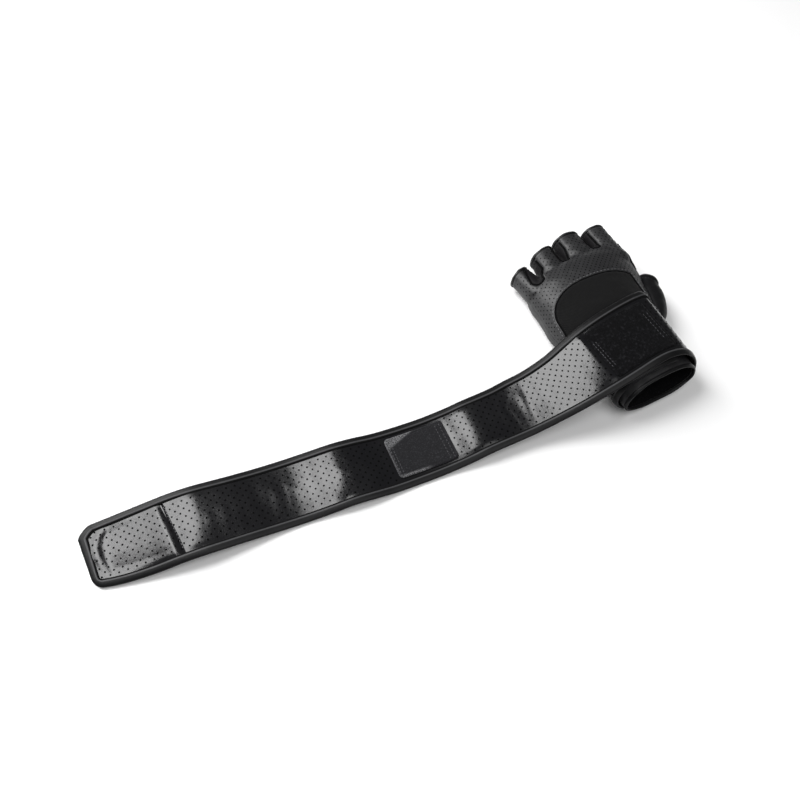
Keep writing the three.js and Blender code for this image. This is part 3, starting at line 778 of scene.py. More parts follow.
# %% Cut the shell into its sewn pieces
LOW, HIGH = -20, 90
PANEL_FROM, BACK_FROM = 20, 18
thumb_piece = cut(shell, "INTERSECT", prism(thumb_line(0), LOW, HIGH), "thumb_sleeve")
rest = cut(shell, "DIFFERENCE", prism(thumb_line(SEAM_GAP), LOW, HIGH), "rest")
strips = {}
for name in WEBS:
    strips[name] = cut(rest, "INTERSECT", prism(web_line(name, 0), LOW, HIGH), f"side_strip_{name}")
for name in WEBS:
    rest = cut(rest, "DIFFERENCE", prism(web_line(name, SEAM_GAP), LOW, HIGH), "rest")
panel = cut(rest, "INTERSECT", prism(panel_line(0), PANEL_FROM, HIGH), "elastic_panel")
back = cut(rest, "INTERSECT", above_seam(SEAM_GAP / 2))
back = cut(back, "DIFFERENCE", prism(panel_line(SEAM_GAP), BACK_FROM, HIGH), "glove_back")
palm = cut(rest, "DIFFERENCE", above_seam(-SEAM_GAP / 2), "glove_palm")
for extra in [o for o in bpy.data.objects if o.name.split(".")[0] in ("shell", "rest")]:
    bpy.data.objects.remove(extra)
for piece in (thumb_piece, panel, back, palm, *strips.values()):
    print(piece.name, "faces:", len(piece.data.polygons), "cm3:", round(volume(piece.data) / 1000, 2))

# %% [markdown]
# ## The surface as a place to sew on
# Stitches, welts and punched holes follow lines drawn in plan. A ray from above finds where each point
# of such a line meets the skin, and the skin's normal there.

# %% Drop lines on the skin
surface = BVHTree.FromPolygons(outer.tolist(), [tuple(f) for f in faces])


def drop(line, lift=0.0):
    """Points of a plan line on the skin, raised by lift along the normal, and the normals."""
    places, ups = [], []
    for x, y in line:
        hit, normal, _, _ = surface.ray_cast(Vector((x, y, HIGH)), Vector((0, 0, -1)))
        if hit is None:
            continue
        if normal.z < 0:
            normal = -normal
        places.append(np.array(hit) + lift * np.array(normal))
        ups.append(np.array(normal))
    return np.array(places), np.array(ups)


def resampled(line, step):
    line = np.asarray(line, float)
    lengths = run_along(line)
    at = np.linspace(0, lengths[-1], max(int(lengths[-1] / step), 1) + 1)
    return np.stack([np.interp(at, lengths, line[:, k]) for k in range(line.shape[1])], 1)


def swept(line, radius, sides=8, flat=1.0):
    """A round cord along a line of points in space."""
    line = np.asarray(line, float)
    along = np.gradient(line, axis=0)
    along /= sizes(along)[:, None]
    side = np.cross(along, (0, 0, 1.0))
    side /= np.maximum(sizes(side), 1e-9)[:, None]
    up = np.cross(side, along)
    c, s = np.cos(full_turn(sides)), np.sin(full_turn(sides))
    return tube([p + radius * (np.outer(c, a) + flat * np.outer(s, b)) for p, a, b in zip(line, side, up)])


print("skin found at the middle of the back:", drop([(0, 30)])[0].round(1))

# %% [markdown]
# ## Hems and cuff
# Each opening ends in a folded band. It is a loop of one rounded section, thick at the fold, and it
# wavers by a few tenths of a millimetre, as an edge sewn by hand-guided leather does.

# %% Folded bands
BAND_SECTION = [(0.0, 0.0), (0.0, 0.35), (0.06, 0.75), (0.3, 0.98), (0.6, 1.0),
                (0.88, 0.85), (1.0, 0.5), (1.0, 0.0), (0.5, -0.03)]


def band(name, length, proud):
    ring, ahead = OPENINGS[name]
    big, small = ring(proud), ring(-GLOVE_WALL + 0.1)
    chance = np.random.default_rng(len(name))
    k = full_turn(len(big))
    waver = 0.18 * np.sin(3 * k + chance.uniform(0, 6)) + 0.12 * np.sin(7 * k + chance.uniform(0, 6))
    rings = []
    for outside, inside, extra in zip(big, small, waver):
        away = (outside - inside) / np.linalg.norm(outside - inside)
        loop = []
        for deep, out in BAND_SECTION:
            base = outside * (1 - deep) + inside * deep
            swell = 0.25 * math.sin(math.pi * min(max(out, 0), 1)) * (1 - deep)
            loop.append(base + ahead * (SEAM_GAP + out * (length + 0.5 + extra)) + away * swell)
        rings.append(np.array(loop))
    return tube(rings, closed=True)


bands = {}
for name in [name for name in OPENINGS if name != "cuff"]:
    bands[name] = mesh_object(f"hem_of_{name}_opening", *band(name, 1.9, 0.35), (HEM_LEATHER,))
cuff = mesh_object("cuff_edge", *band("cuff", 2.1, 0.0), (TAPE,))
print("bands:", sorted(bands))

# %% [markdown]
# ## The strap as a flat thing
# The strap is cut flat, so it is easiest to think of it flat too: a point is a length from the free
# end, a distance across and a height above its middle. Two smooth edge lines carry that flat strap
# over the surface, up over the back of the wrist and once round it.

# %% The strap's edge lines
CUFF_GAP = 1.2
STRAP_CORE = 1.2
TAPE_WALL = 0.85
TAPE_WIDTH = 6.2
STRAP_THICK = STRAP_CORE + 2 * (TAPE_WALL + SEAM_GAP * 0.8)
CORNER_FAR, CORNER_NEAR = 9.5, 8.5
CORNER_FORM = {-1: 1.3, 1: 2.0}
END_ASLANT = 5.0
ASLANT_FROM_X = -420
ASLANT_OVER = 21
# Along the free run: x, height, then y of the far and of the near edge.
FREE_RUN = np.array([
    (-106, 12.7, -23.1, -75.1), (-118, 10.9, -24.0, -75.0), (-130, 9.8, -24.3, -75.0),
    (-143, 8.5, -24.3, -75.2), (-156, 5.6, -24.0, -75.2), (-176, 2.6, -23.2, -74.9),
    (-198, 1.75, -22.1, -74.5), (-218, 2.8, -21.2, -74.3), (-234, 5.0, -20.0, -73.8),
    (-249, 5.5, -18.8, -72.8), (-266, 3.4, -17.2, -71.7), (-286, 1.9, -15.8, -70.5),
    (-308, 3.3, -15.3, -69.8), (-330, 6.4, -15.0, -69.6), (-345, 8.3, -14.4, -69.5),
    (-358, 9.5, -13.8, -69.2), (-374, 8.4, -12.8, -68.2), (-396, 4.9, -11.7, -66.6),
    (-420, 2.3, -11.3, -63.4), (-441, 1.75, -11.8, -59.6),
])
# Over the back of the wrist: a point of the far edge, then one of the near edge.
BACK_RUN = np.array([
    (36.3, -34.5, 18.5, 38.0, -73.6, 13.0), (34.2, -28.5, 26.0, 37.2, -73.0, 19.5),
    (30.0, -20.5, 31.4, 35.4, -72.2, 25.6), (26.4, -13.0, 37.0, 32.6, -71.4, 30.6),
    (21.8, -6.8, 43.8, 28.0, -70.4, 35.4), (12.5, -7.4, 46.4, 22.0, -69.6, 38.9),
    (0.0, -9.2, 46.9, 10.5, -69.6, 42.0), (-13.0, -11.3, 46.3, -2.5, -71.2, 43.0),
    (-26.8, -13.5, 44.2, -17.3, -73.6, 41.4), (-40.2, -15.7, 40.2, -31.8, -75.4, 38.6),
    (-54.5, -18.5, 33.8, -47.5, -76.4, 34.2), (-71.5, -21.9, 25.3, -66.5, -76.5, 26.8),
    (-89.5, -23.2, 17.5, -86.5, -75.7, 18.6),
])
# Round the wrist: an angle of its section, then y of the far and of the near edge.
WRIST_TURN = np.array([
    (64, -18, -71.5), (84, -18, -72.5), (104, -20, -73.5), (128, -25, -74.5), (152, -31, -75.5),
    (180, -33.5, -77), (208, -34.5, -78.2), (236, -35.5, -79), (270, -36, -78.5), (304, -37, -76.5),
    (332, -38, -74.5),
])


print("stations, free, over and round the wrist:", len(FREE_RUN), len(BACK_RUN), len(WRIST_TURN))


def round_wrist(y, angle):
    x, _, z = hand_ring(y, CUFF_GAP + STRAP_THICK / 2, angles=[math.radians(angle)])[0]
    return (x, y, z)


def edge_stations(near):
    """Places along the far edge (0) or the near edge (1), from the free end to the end of the turn."""
    places = [round_wrist(ys[near], angle) for angle, *ys in WRIST_TURN]
    places += [tuple(row[3 * near:3 * near + 3]) for row in BACK_RUN]
    for x, height, *ys in FREE_RUN:
        share = min(max((ASLANT_FROM_X - x) / ASLANT_OVER, 0), 1)
        places.append((x + near * END_ASLANT * share, ys[near], height))
    return np.array(places[::-1])


def through(stations, t):
    """A centripetal Catmull-Rom curve through stations, read at shares t of its whole run."""
    last = len(stations) - 1
    padded = np.concatenate([[2 * stations[0] - stations[1]], stations, [2 * stations[-1] - stations[-2]]])
    place = unit(t) * last
    i = np.minimum(place.astype(int), last - 1)
    w = (place - i)[:, None]
    p0, p1, p2, p3 = (padded[i + k] for k in range(4))
    d0, d1, d2 = (np.sqrt(sizes(b - a))[:, None] for a, b in ((p0, p1), (p1, p2), (p2, p3)))
    m1 = ((p1 - p0) / d0 - (p2 - p0) / (d0 + d1) + (p2 - p1) / d1) * d1
    m2 = ((p2 - p1) / d1 - (p3 - p1) / (d1 + d2) + (p3 - p2) / d2) * d1
    return p1 + m1 * w + (3 * (p2 - p1) - 2 * m1 - m2) * w**2 + (2 * (p1 - p2) + m1 + m2) * w**3


# %% Lengths along the strap
share = np.linspace(0, 1, 2401)
far_edge, near_edge = (through(edge_stations(near), share) for near in (0, 1))
middle = (far_edge + near_edge) / 2
run = run_along(middle)
STRAP_LENGTH = run[-1]
across = near_edge - far_edge
half_width = sizes(across) / 2
across /= 2 * half_width[:, None]
along = np.gradient(middle, axis=0)
along /= sizes(along)[:, None]
out = np.cross(across, along)
out /= sizes(out)[:, None]
widths = [round(2 * width, 1) for width in (half_width.min(), half_width.max())]
print("strap length in mm:", round(STRAP_LENGTH, 1), "narrowest and widest:", widths)


def read(table, length):
    length = np.clip(length, 0, STRAP_LENGTH)
    return np.stack([np.interp(length, run, table[:, k]) for k in range(3)], -1)


def strap_place(length, aside, height):
    """Points of the strap from lengths, distances across and heights, three arrays of one shape."""
    length, aside, height = np.broadcast_arrays(*(np.asarray(v, float) for v in (length, aside, height)))
    past = (length - np.clip(length, 0, STRAP_LENGTH))[..., None]
    base = read(middle, length) + read(along, length) * past
    return base + read(across, length) * aside[..., None] + read(out, length) * height[..., None]


def half_at(length):
    return np.interp(length, run, half_width)


def strap_half(length, side, inset=0.0):
    """Half width at a length, less round the two corners of the free end."""
    radius = CORNER_FAR if side < 0 else CORNER_NEAR
    form = CORNER_FORM[int(side)]
    short = unit((radius - length) / (radius - inset))
    rounded = half_at(length) - radius + (radius - inset) * (1 - short**form) ** (1 / form)
    return np.where(short <= 0, half_at(length) - inset, rounded)


# %% [markdown]
# ## Padded strap leather
# The leather is drawn in at the tape and swells between the edges, with slight crosswise ripples where
# the strap has been rolled. One crosswise seam joins the end piece, and the leather dips to it from
# both sides. A curved dimple crosses the end piece, and soft puffs and two creases lie along the rest.
# The sheet keeps its flat size in millimetres in a UV map.

# %% Strap leather
PADS = {
    "wrist": dict(start=408, end=464, left=-22, right=22.5, thick=1.1, short=12),
    "middle": dict(start=229, end=277, left=-17.5, right=17.5, thick=1.1, short=4),
}
END_SEAM = np.array([(60.0, -24), (61.6, -12), (63.7, 0), (65.1, 9), (67.0, 24)])
SEAM_MIDDLE = 63.7
DIMPLE = np.array([(21.5, -19), (17.2, -11.8), (15.0, -5.5), (15.0, 3.8), (17.4, 18.7)])
CREASES = [
    (np.array([(337.5, -19.4), (325.3, -4.8), (328.3, 13.4)]), 0.28),
    (np.array([(347.3, -27.4), (344.2, -6.6), (341.5, 12.1)]), 0.22),
]
# Each puff: its middle, how far it rises, and its reach to the free end's side and to the wrist's side.
PUFFS = ((79, 0.7, 10, 22), (298, 1.0, 12, 16), (410, 1.25, 16, 6))
# Each ease: where the near side lets go, and by how much.
EASES = ((80, 0.95), (190, 0.95), (298, 0.75), (402, 0.3))
UNDERSIDE_SHIFT = 171.0


def on_line(line, aside):
    """The length at which a line drawn across the strap passes a distance across."""
    return np.interp(aside, line[:, 1], line[:, 0])


def beyond(line, length, aside):
    """How far along the strap a point lies past a line drawn across it."""
    return length - on_line(line, aside)


def ripple(length, aside):
    grid = np.stack([length, aside * 0.35, length * 0], -1).reshape(-1, 3)
    height = 0.08 * waves(grid, 34, 11) + 0.085 * waves(grid, 12, 13) + 0.025 * waves(grid, 5, 17)
    return height.reshape(length.shape)


def leather_height(length, aside):
    """Height of the leather's top over the strap's middle."""
    share = np.clip(np.abs(aside) / (half_at(length) - TAPE_WIDTH), 0, 1.4)
    pads = [unit((length - p["start"] + 3) / 4) * unit((p["end"] + 3 - length) / 4)
            for p in PADS.values()]
    flat = 1 - np.max(pads, axis=0)
    seam = beyond(END_SEAM, length, aside)
    calm = np.where(seam < 0, 0.2, 1) * (1 - 0.7 * hill(seam, 6))
    swell = 0.42 * (1 - share**4) + calm * ripple(length, aside)
    swell = swell * unit(1.15 - share) * (0.3 + 0.7 * flat)
    for centre, rise, before, after in PUFFS:
        spread = np.where(length < centre, before, after)
        rounded = rise * hill(length - centre, spread)
        swell += rounded * unit((1.15 - share) / 0.3) * flat
    for centre, drop_by in EASES:
        gone = smooth_step((length - centre + 13) / 13) * (1 - smooth_step((length - centre) / 40))
        swell -= drop_by * unit(aside / 20) ** 2 * gone * flat
    puff = np.where(seam < 0, 0.6 * unit((length - 18) / 38), 0)
    puff = puff * (1 + 0.6 * unit(aside / 12))
    near_seam = unit(1 - np.abs(seam) / np.where(seam < 0, 5.2, 1.4))
    fold = puff - (puff + 1.1) * near_seam**1.5
    fold *= unit((1.15 - share) / 0.25)
    dent = beyond(DIMPLE, length, aside)
    low = np.where(dent < 0, hill(dent, 2.9), 1 - unit(dent / 48))
    lip = hill(dent + 6.0, 2.6) * unit((13 - aside) / 11)
    fold += (0.5 * lip - 0.9 * low) * unit((1.1 - share) / 0.4)
    for line, depth in CREASES:
        fold -= depth * hill(beyond(line, length, aside), 2.0) * unit(1.2 - share)
    return STRAP_CORE / 2 + np.maximum(swell + fold, -0.75)


def underside_height(length, aside):
    """The same unevenness from elsewhere along the strap, flatter and turned down."""
    return -leather_height(length + UNDERSIDE_SHIFT, aside) * 0.6 - 0.4


def leaning(length, aside):
    """Near the end seam the rows of points lean with it, which keeps its fold clean."""
    return length + (on_line(END_SEAM, aside) - SEAM_MIDDLE) * hill(length - SEAM_MIDDLE, 18)


def strap_sheet():
    inset, step = 1.4, 1.4
    fine = SEAM_MIDDLE + np.arange(-6, 5.1, 0.5)
    lengths = np.concatenate([
        inset + np.linspace(0, 1, 14) ** 1.7 * 14, np.arange(16.8, fine[0] - 0.7, step), fine,
        np.arange(fine[-1] + 1, STRAP_LENGTH - inset, step), [STRAP_LENGTH - inset]])
    steps = np.linspace(-1, 1, 43)
    steps = np.sign(steps) * np.abs(steps) ** 0.85
    rings, flat = [], []
    for length in lengths:
        far, near = float(strap_half(length, -1, inset)), float(strap_half(length, 1, inset))
        aside = np.where(steps < 0, steps * far, steps * near)
        at = leaning(length, aside)
        heights = np.concatenate([leather_height(at, aside), underside_height(at, aside)[::-1]])
        at, aside = np.concatenate([at, at[::-1]]), np.concatenate([aside, aside[::-1]])
        rings.append(strap_place(at, aside, heights))
        flat.append(np.stack([at, aside], 1))
    return tube(rings), np.concatenate(flat)


def set_map(made, name, flat):
    """A UV map that holds flat millimetres, point by point."""
    layer = made.data.uv_layers.new(name=name)
    order = np.zeros(len(made.data.loops), int)
    made.data.loops.foreach_get("vertex_index", order)
    layer.data.foreach_set("uv", np.asarray(flat, np.float32)[order].ravel())


(sheet_points, sheet_faces), sheet_flat = strap_sheet()
strap = mesh_object("strap_leather", sheet_points, sheet_faces, (STRAP_LEATHER,))
set_map(strap, "flat", sheet_flat)
print("strap faces:", len(strap.data.polygons))

# %% [markdown]
# ## Binding tape
# One tape is folded over both long edges and round the end. Its section is a soft fold, with a sewn
# groove near the inner edge that leaves a narrow lip. Near the far corner of the free end it is a
# little thicker, where its two ends lap.

# %% Tape round the strap
def corner_route(radius, side, shares):
    half, bend = float(half_at(radius)), 2 / CORNER_FORM[side]
    places = []
    for turn in shares * math.pi / 2:
        s, c = max(math.sin(turn), 0), max(math.cos(turn), 0)
        inward = np.array([s ** (2 - bend), -side * c ** (2 - bend)])
        inward /= np.linalg.norm(inward)
        places.append((radius - radius * s**bend, side * (half - radius + radius * c**bend), *inward))
    return places


def tape_route():
    """Places along the strap's outline as length and distance across, each with the way inwards."""
    lengths = np.arange(max(CORNER_FAR, CORNER_NEAR), STRAP_LENGTH - 1.4, 1.6)
    end = np.linspace(-half_at(0) + CORNER_FAR + 1.5, half_at(0) - CORNER_NEAR - 1.5, 16)
    return np.array([
        *((s, -float(strap_half(s, -1)), 0, 1) for s in lengths[::-1]),
        *corner_route(CORNER_FAR, -1, np.linspace(0, 1, 15)[1:]),
        *((0, aside, 1, 0) for aside in end),
        *corner_route(CORNER_NEAR, 1, np.linspace(1, 0, 13)[:-1]),
        *((s, float(strap_half(s, 1)), 0, -1) for s in lengths),
    ])


TAPE_TOP = [(6.4, 0.95), (6.3, 1.08), (5.95, 1.14), (5.35, 1.24), (5.1, 1.56), (4.7, 1.68), (4.0, 1.68),
            (3.3, 1.60), (2.3, 1.46), (1.3, 1.22), (0.45, 0.85), (-0.05, 0.35)]
# A tape map value clear of the painted lip highlight and the painted groove shade, for the cuff and the
# tape's stitches.
PAST_GROOVE = 8.0
TAPE_SECTION = TAPE_TOP + [(i, -h) for i, h in TAPE_TOP[::-1]] + [(1.05, -0.84), (1.05, 0.84)]


def tape_rings():
    route = tape_route()
    chance = np.random.default_rng(4)
    path = run_along(route[:, :2])
    uneven = sum(np.sin(path / chance.uniform(6, 30) + chance.uniform(0, 6)) for _ in range(6)) / 6
    lap_start, lap_end = path[len(route) // 2 - 22], path[len(route) // 2 - 8]
    lapped = unit((path - lap_start) / 0.8) * unit((lap_end - path) / 6)
    rings, flat = [], []
    for (s, a, in_s, in_a), wave, extra, p in zip(route, uneven, lapped, path):
        inward = np.array([i + (0.18 * wave if i > 3 else 0) for i, _ in TAPE_SECTION])
        tall = np.array([h * (1 + 0.06 * wave + 0.16 * extra) for _, h in TAPE_SECTION])
        rings.append(strap_place(s + in_s * inward, a + in_a * inward, tall))
        flat.append(np.stack([np.full(len(tall), p), np.arange(len(tall)) * 0.8], 1))
    return tube(rings), np.concatenate(flat)


(tape_points, tape_faces), tape_flat = tape_rings()
tape = mesh_object("strap_tape", tape_points, tape_faces, (TAPE,))
set_map(tape, "tape", tape_flat)
set_map(cuff, "tape", np.full((len(cuff.data.vertices), 2), PAST_GROOVE))
print("tape faces:", len(tape.data.polygons), "tape length in mm:", round(float(tape_flat[:, 0].max())))

# %% [markdown]
# ## Velvet pads
# The wrist pad and the middle patch are loop velvet for the strap's fastener. A pad is a low cushion
# with rounded corners whose edge is drawn down by its stitches.

# %% Pads
PAD_FLOOR = 1.12


def cushion(pad, border):
    """A pad's rise over its foot at a distance from its border, with the groove of its stitches."""
    plump = pad["thick"] * (0.35 + 0.65 * unit(border / 1.4) ** 0.5)
    return plump - 0.35 * hill(border - 2.1, 0.5)


def pad_body(pad, corner=3.0):
    start, end = pad["start"], pad["end"]
    lengths = np.concatenate([start + np.linspace(0, 1, 9) ** 1.6 * 5, np.arange(start + 6, end - 5.5, 1.0),
                              end - np.linspace(1, 0, 9) ** 1.6 * 5])
    steps = np.linspace(-1, 1, 41)
    mid, half = (pad["left"] + pad["right"]) / 2, (pad["right"] - pad["left"]) / 2
    rings, flat = [], []
    for length in lengths:
        edge = min(length - start, end - length)
        short = max(corner - edge, 0)
        width = half - corner + math.sqrt(max(corner**2 - short**2, 0.01))
        aside = mid + np.sign(steps) * np.abs(steps) ** 0.8 * width
        border = np.minimum(width - np.abs(aside - mid), edge)
        up = PAD_FLOOR + np.maximum(cushion(pad, border), 0.15)
        heights = np.concatenate([up, np.full(len(aside), PAD_FLOOR - 0.1)])
        both = np.concatenate([aside, aside[::-1]])
        rings.append(strap_place(np.full(len(heights), length), both, heights))
        flat.append(np.stack([np.full(len(heights), length), both], 1))
    return *tube(rings), np.concatenate(flat)


PILE = {"wrist": VELVET, "middle": PATCH_WITH_PAINTED_SHEEN}
velvets, pad_flats = {}, {}
for name, pad in PADS.items():
    pad_points, pad_faces, pad_flats[name] = pad_body(pad)
    velvets[name] = mesh_object(f"velvet_pad_{name}", pad_points, pad_faces, (PILE[name],))


def painted_sheen_zones(flat, pad):
    """Where a sheen is painted on the pile: at a far corner, the near side and the outer end."""
    along, far, near = flat[:, 0] - pad["start"], flat[:, 1] - pad["left"], pad["right"] - flat[:, 1]
    corner = unit((10.5 - 0.42 * along - far) / 1.2)
    side = unit((2.4 - near) / 0.8) * unit((27 - along) / 8)
    end = 0.5 * unit((1.3 - along) / 0.4)
    return np.maximum(np.maximum(corner, side), end)


# The zones of the painted sheen on the middle patch reach its finish through a map.
nap = painted_sheen_zones(pad_flats["middle"], PADS["middle"])
set_map(velvets["middle"], "nap", np.stack([nap, nap * 0], 1))
print({name: len(o.data.polygons) for name, o in velvets.items()})

# %% [markdown]
# ## Stitches, punched holes and pile with Geometry Nodes
# Thousands of small things follow a line or a field of points, which is what Geometry Nodes are for.
# The first tree lays one thread stitch at a time along a line. The second sets a small shape on each
# point, a hole's dish or a loop of pile, and turns it by a stored direction. Sizes are named inputs, so
# one tree serves all seams.

# %% A tree that sews
def new_tree(name, numbers):
    tree = bpy.data.node_groups.new(name, "GeometryNodeTree")

    def socket(label, kind, way="INPUT"):
        return tree.interface.new_socket(label, in_out=way, socket_type="NodeSocket" + kind)

    socket("Geometry", "Geometry")
    for label, value in numbers.items():
        socket(label, "Float").default_value = value
    socket("Finish", "Material")
    socket("Geometry", "Geometry", "OUTPUT")
    return tree, tree.nodes.new("NodeGroupInput"), tree.nodes.new("NodeGroupOutput")


def finish_tree(tree, given, result, instances):
    real = add_node(tree, "GeometryNodeRealizeInstances", None, {0: instances})
    smooth = add_node(tree, "GeometryNodeSetShadeSmooth", None, {0: real.outputs[0]})
    inputs = {0: smooth.outputs[0], "Material": given.outputs["Finish"]}
    finish = add_node(tree, "GeometryNodeSetMaterial", None, inputs)
    tree.links.new(finish.outputs[0], result.inputs[0])
    return tree


def stand_on(tree, points, instance, axis, direction, scale):
    """An instance on each point, with one of its axes turned along a direction."""
    turn = add_node(tree, "FunctionNodeAlignRotationToVector", {"axis": axis}, {"Vector": direction})
    inputs = {"Points": points, "Instance": instance, "Rotation": turn.outputs[0], "Scale": scale}
    return add_node(tree, "GeometryNodeInstanceOnPoints", None, inputs).outputs[0]


def sewing_tree():
    tree, given, result = new_tree("sewn_line", {"Pitch": 3.0, "Stitch": 2.2, "Thread": 0.5})
    pitch, stitch, thread = (given.outputs[label] for label in ("Pitch", "Stitch", "Thread"))
    curve = add_node(tree, "GeometryNodeMeshToCurve", None, {0: given.outputs[0]})
    along = {"Curve": curve.outputs[0], "Length": pitch}
    steps = add_node(tree, "GeometryNodeResampleCurve", {"mode": "LENGTH"}, along)
    bead = add_node(tree, "GeometryNodeMeshUVSphere", None, {"Segments": 8, "Rings": 5, "Radius": 0.5})
    size = add_node(tree, "ShaderNodeCombineXYZ", None, {0: stitch, 1: thread, 2: thread})
    tangent = add_node(tree, "GeometryNodeInputTangent")
    laid = stand_on(tree, steps.outputs[0], bead.outputs[0], "X", tangent.outputs[0], size.outputs[0])
    return finish_tree(tree, given, result, laid)


SEW = sewing_tree()
print("nodes in the tree that sews:", len(SEW.nodes))


# %% A tree that punches
def dish():
    """One punched hole: a dark dish whose rim lies just on the leather."""
    angle = full_turn(9)
    ring = np.stack([np.cos(angle), np.sin(angle), angle * 0], 1)
    points, faces = tube([ring + (0, 0, 0.2), ring * (0.55, 0.55, 0) + (0, 0, 0.16)])
    return points, [face for face in faces if face != faces[-2]]


def small_loop():
    """One loop of the pile: a thin ring of three-sided section, stood on edge."""
    rings = []
    for angle in np.linspace(0, 2 * math.pi, 7)[:-1]:
        y, z = math.cos(angle), math.sin(angle)
        rings.append(np.array([(0, y, z), (0.25, y * 0.5, z * 0.5), (-0.25, y * 0.5, z * 0.5)]))
    return tube(rings, closed=True)


def punching_tree(stamp):
    tree, given, result = new_tree("punched_field", {"Size": 1.0, "Unevenness": 0.12, "Seed": 5.0})
    shape = add_node(tree, "GeometryNodeObjectInfo", None, {"Object": stamp})
    stored = {"data_type": "FLOAT_VECTOR"}
    normal = add_node(tree, "GeometryNodeInputNamedAttribute", stored, {"Name": "up"})
    middle_size, unevenness = (Value(tree, given.outputs[label]) for label in ("Size", "Unevenness"))
    limits = {2: middle_size - unevenness, 3: middle_size + unevenness, "Seed": given.outputs["Seed"]}
    size = add_node(tree, "FunctionNodeRandomValue", None, limits)
    instance = shape.outputs["Geometry"]
    laid = stand_on(tree, given.outputs[0], instance, "Z", normal.outputs[0], size.outputs[1])
    return finish_tree(tree, given, result, laid)


stamps = {
    "hole": mesh_object("hole_stamp", *dish(), facing=False),
    "loop": mesh_object("loop_stamp", *small_loop()),
}
TREES = {name: punching_tree(stamp) for name, stamp in stamps.items()}
print("nodes in the trees that punch:", {name: len(tree.nodes) for name, tree in TREES.items()})


# %% Run a tree and keep a plain mesh
def grown(name, points, edges, tree, finish, ups=None, **numbers):
    mesh = bpy.data.meshes.new(name)
    mesh.from_pydata(np.asarray(points, float).tolist(), edges, [])
    if ups is not None:
        stored = mesh.attributes.new("up", "FLOAT_VECTOR", "POINT")
        stored.data.foreach_set("vector", np.asarray(ups, float).ravel())
    made = new_object(name, mesh)
    modifier = made.modifiers.new("grow", "NODES")
    modifier.node_group = tree
    for item in tree.interface.items_tree:
        if item.in_out == "INPUT" and item.name in numbers:
            modifier[item.identifier] = numbers[item.name]
        if item.in_out == "INPUT" and item.name == "Finish":
            modifier[item.identifier] = finish
    return evaluated(made)


def sewn(name, lines, pitch=3.0, stitch=2.2, thread=0.45, finish=THREAD):
    points, edges = [], []
    for line in lines:
        start = len(points)
        points.extend(np.asarray(line, float).tolist())
        edges.extend((start + k, start + k + 1) for k in range(len(line) - 1))
    return grown(name, points, edges, SEW, finish, Pitch=pitch, Stitch=stitch, Thread=thread)


print("inputs and outputs of the tree that sews:", [item.name for item in SEW.interface.items_tree])


# %% [markdown]
# ## Seams of the glove
# The thread outside the panel is dark and glossy, and its light grey is a painted glint. The rows down
# the thumb seam and behind each hem are sewn with dark waxed thread. The strips between the fingers and the
# panel are edged with a rounded cord.

# %% Stitch lines on the glove
def between(line, keep):
    return np.array([p for p in line if keep(p)])


panel_row = drop(between(resampled(panel_line(1.7), 0.9), lambda p: p[1] > -27), 0.14)[0]
thumb_row = drop(between(resampled(thumb_line(1.6)[1:-1], 0.9), lambda p: p[1] > -30), 0.12)[0]
glove_thread = sewn("panel_stitches", [panel_row], pitch=3.2, stitch=2.0, thread=0.5, finish=GLINT_PAINTED_THREAD)
sewn("thumb_stitches", [thumb_row], pitch=3.2, stitch=2.0, thread=0.45, finish=WAXED_THREAD)


HEM_BACK_BY = 2.2
HEM_LIFT = 0.15
WIDEST_SLEEVE = 24
WIDEST_STEP = 4


def hem_rows(name):
    """The stitches behind a hem, broken off where the sleeve has already run into the glove."""
    ring, ahead = OPENINGS[name]
    row = []
    centre = ring(0).mean(0) - ahead * HEM_BACK_BY
    for p in ring(0):
        aim = (p - ahead * HEM_BACK_BY) - centre
        hit = surface.ray_cast(Vector(centre), Vector(aim).normalized())[0]
        if hit is not None and (hit - Vector(centre)).length < WIDEST_SLEEVE:
            row.append(np.array(hit) + HEM_LIFT * np.array(aim) / np.linalg.norm(aim))
    row = np.array(row + row[:1])
    reach = sizes(row - centre)
    keep = reach < 1.5 * np.median(reach)
    broken = np.flatnonzero(~keep[:-1] | ~keep[1:] | (sizes(np.diff(row, axis=0)) > WIDEST_STEP)) + 1
    return [resampled(part, 0.8) for part in np.split(row, broken) if len(part) > 2]


hem_lines = [line for name in bands for line in hem_rows(name)]
hem_thread = sewn("hem_stitches", hem_lines, pitch=2.4, stitch=1.8, thread=0.38, finish=WAXED_THREAD)
print("stitch faces:", len(glove_thread.data.polygons), len(hem_thread.data.polygons))

# %% [markdown]
# On the real glove a rounded cord is folded into the seams round the strips and the panel. Here one
# round section is swept along each seam line on the skin, which is quicker than modelling the fold.

# %% Welts round the side strips
def behind_openings(line):
    """The points of a line that lie behind the finger openings, not in front of them."""
    for finger in STALLS:
        ring, ahead = OPENINGS[finger]
        reach = line - ring(0).mean(0)
        line = line[~((reach @ ahead > -0.6) & (sizes(reach[:, :2]) < 22))]
    return line


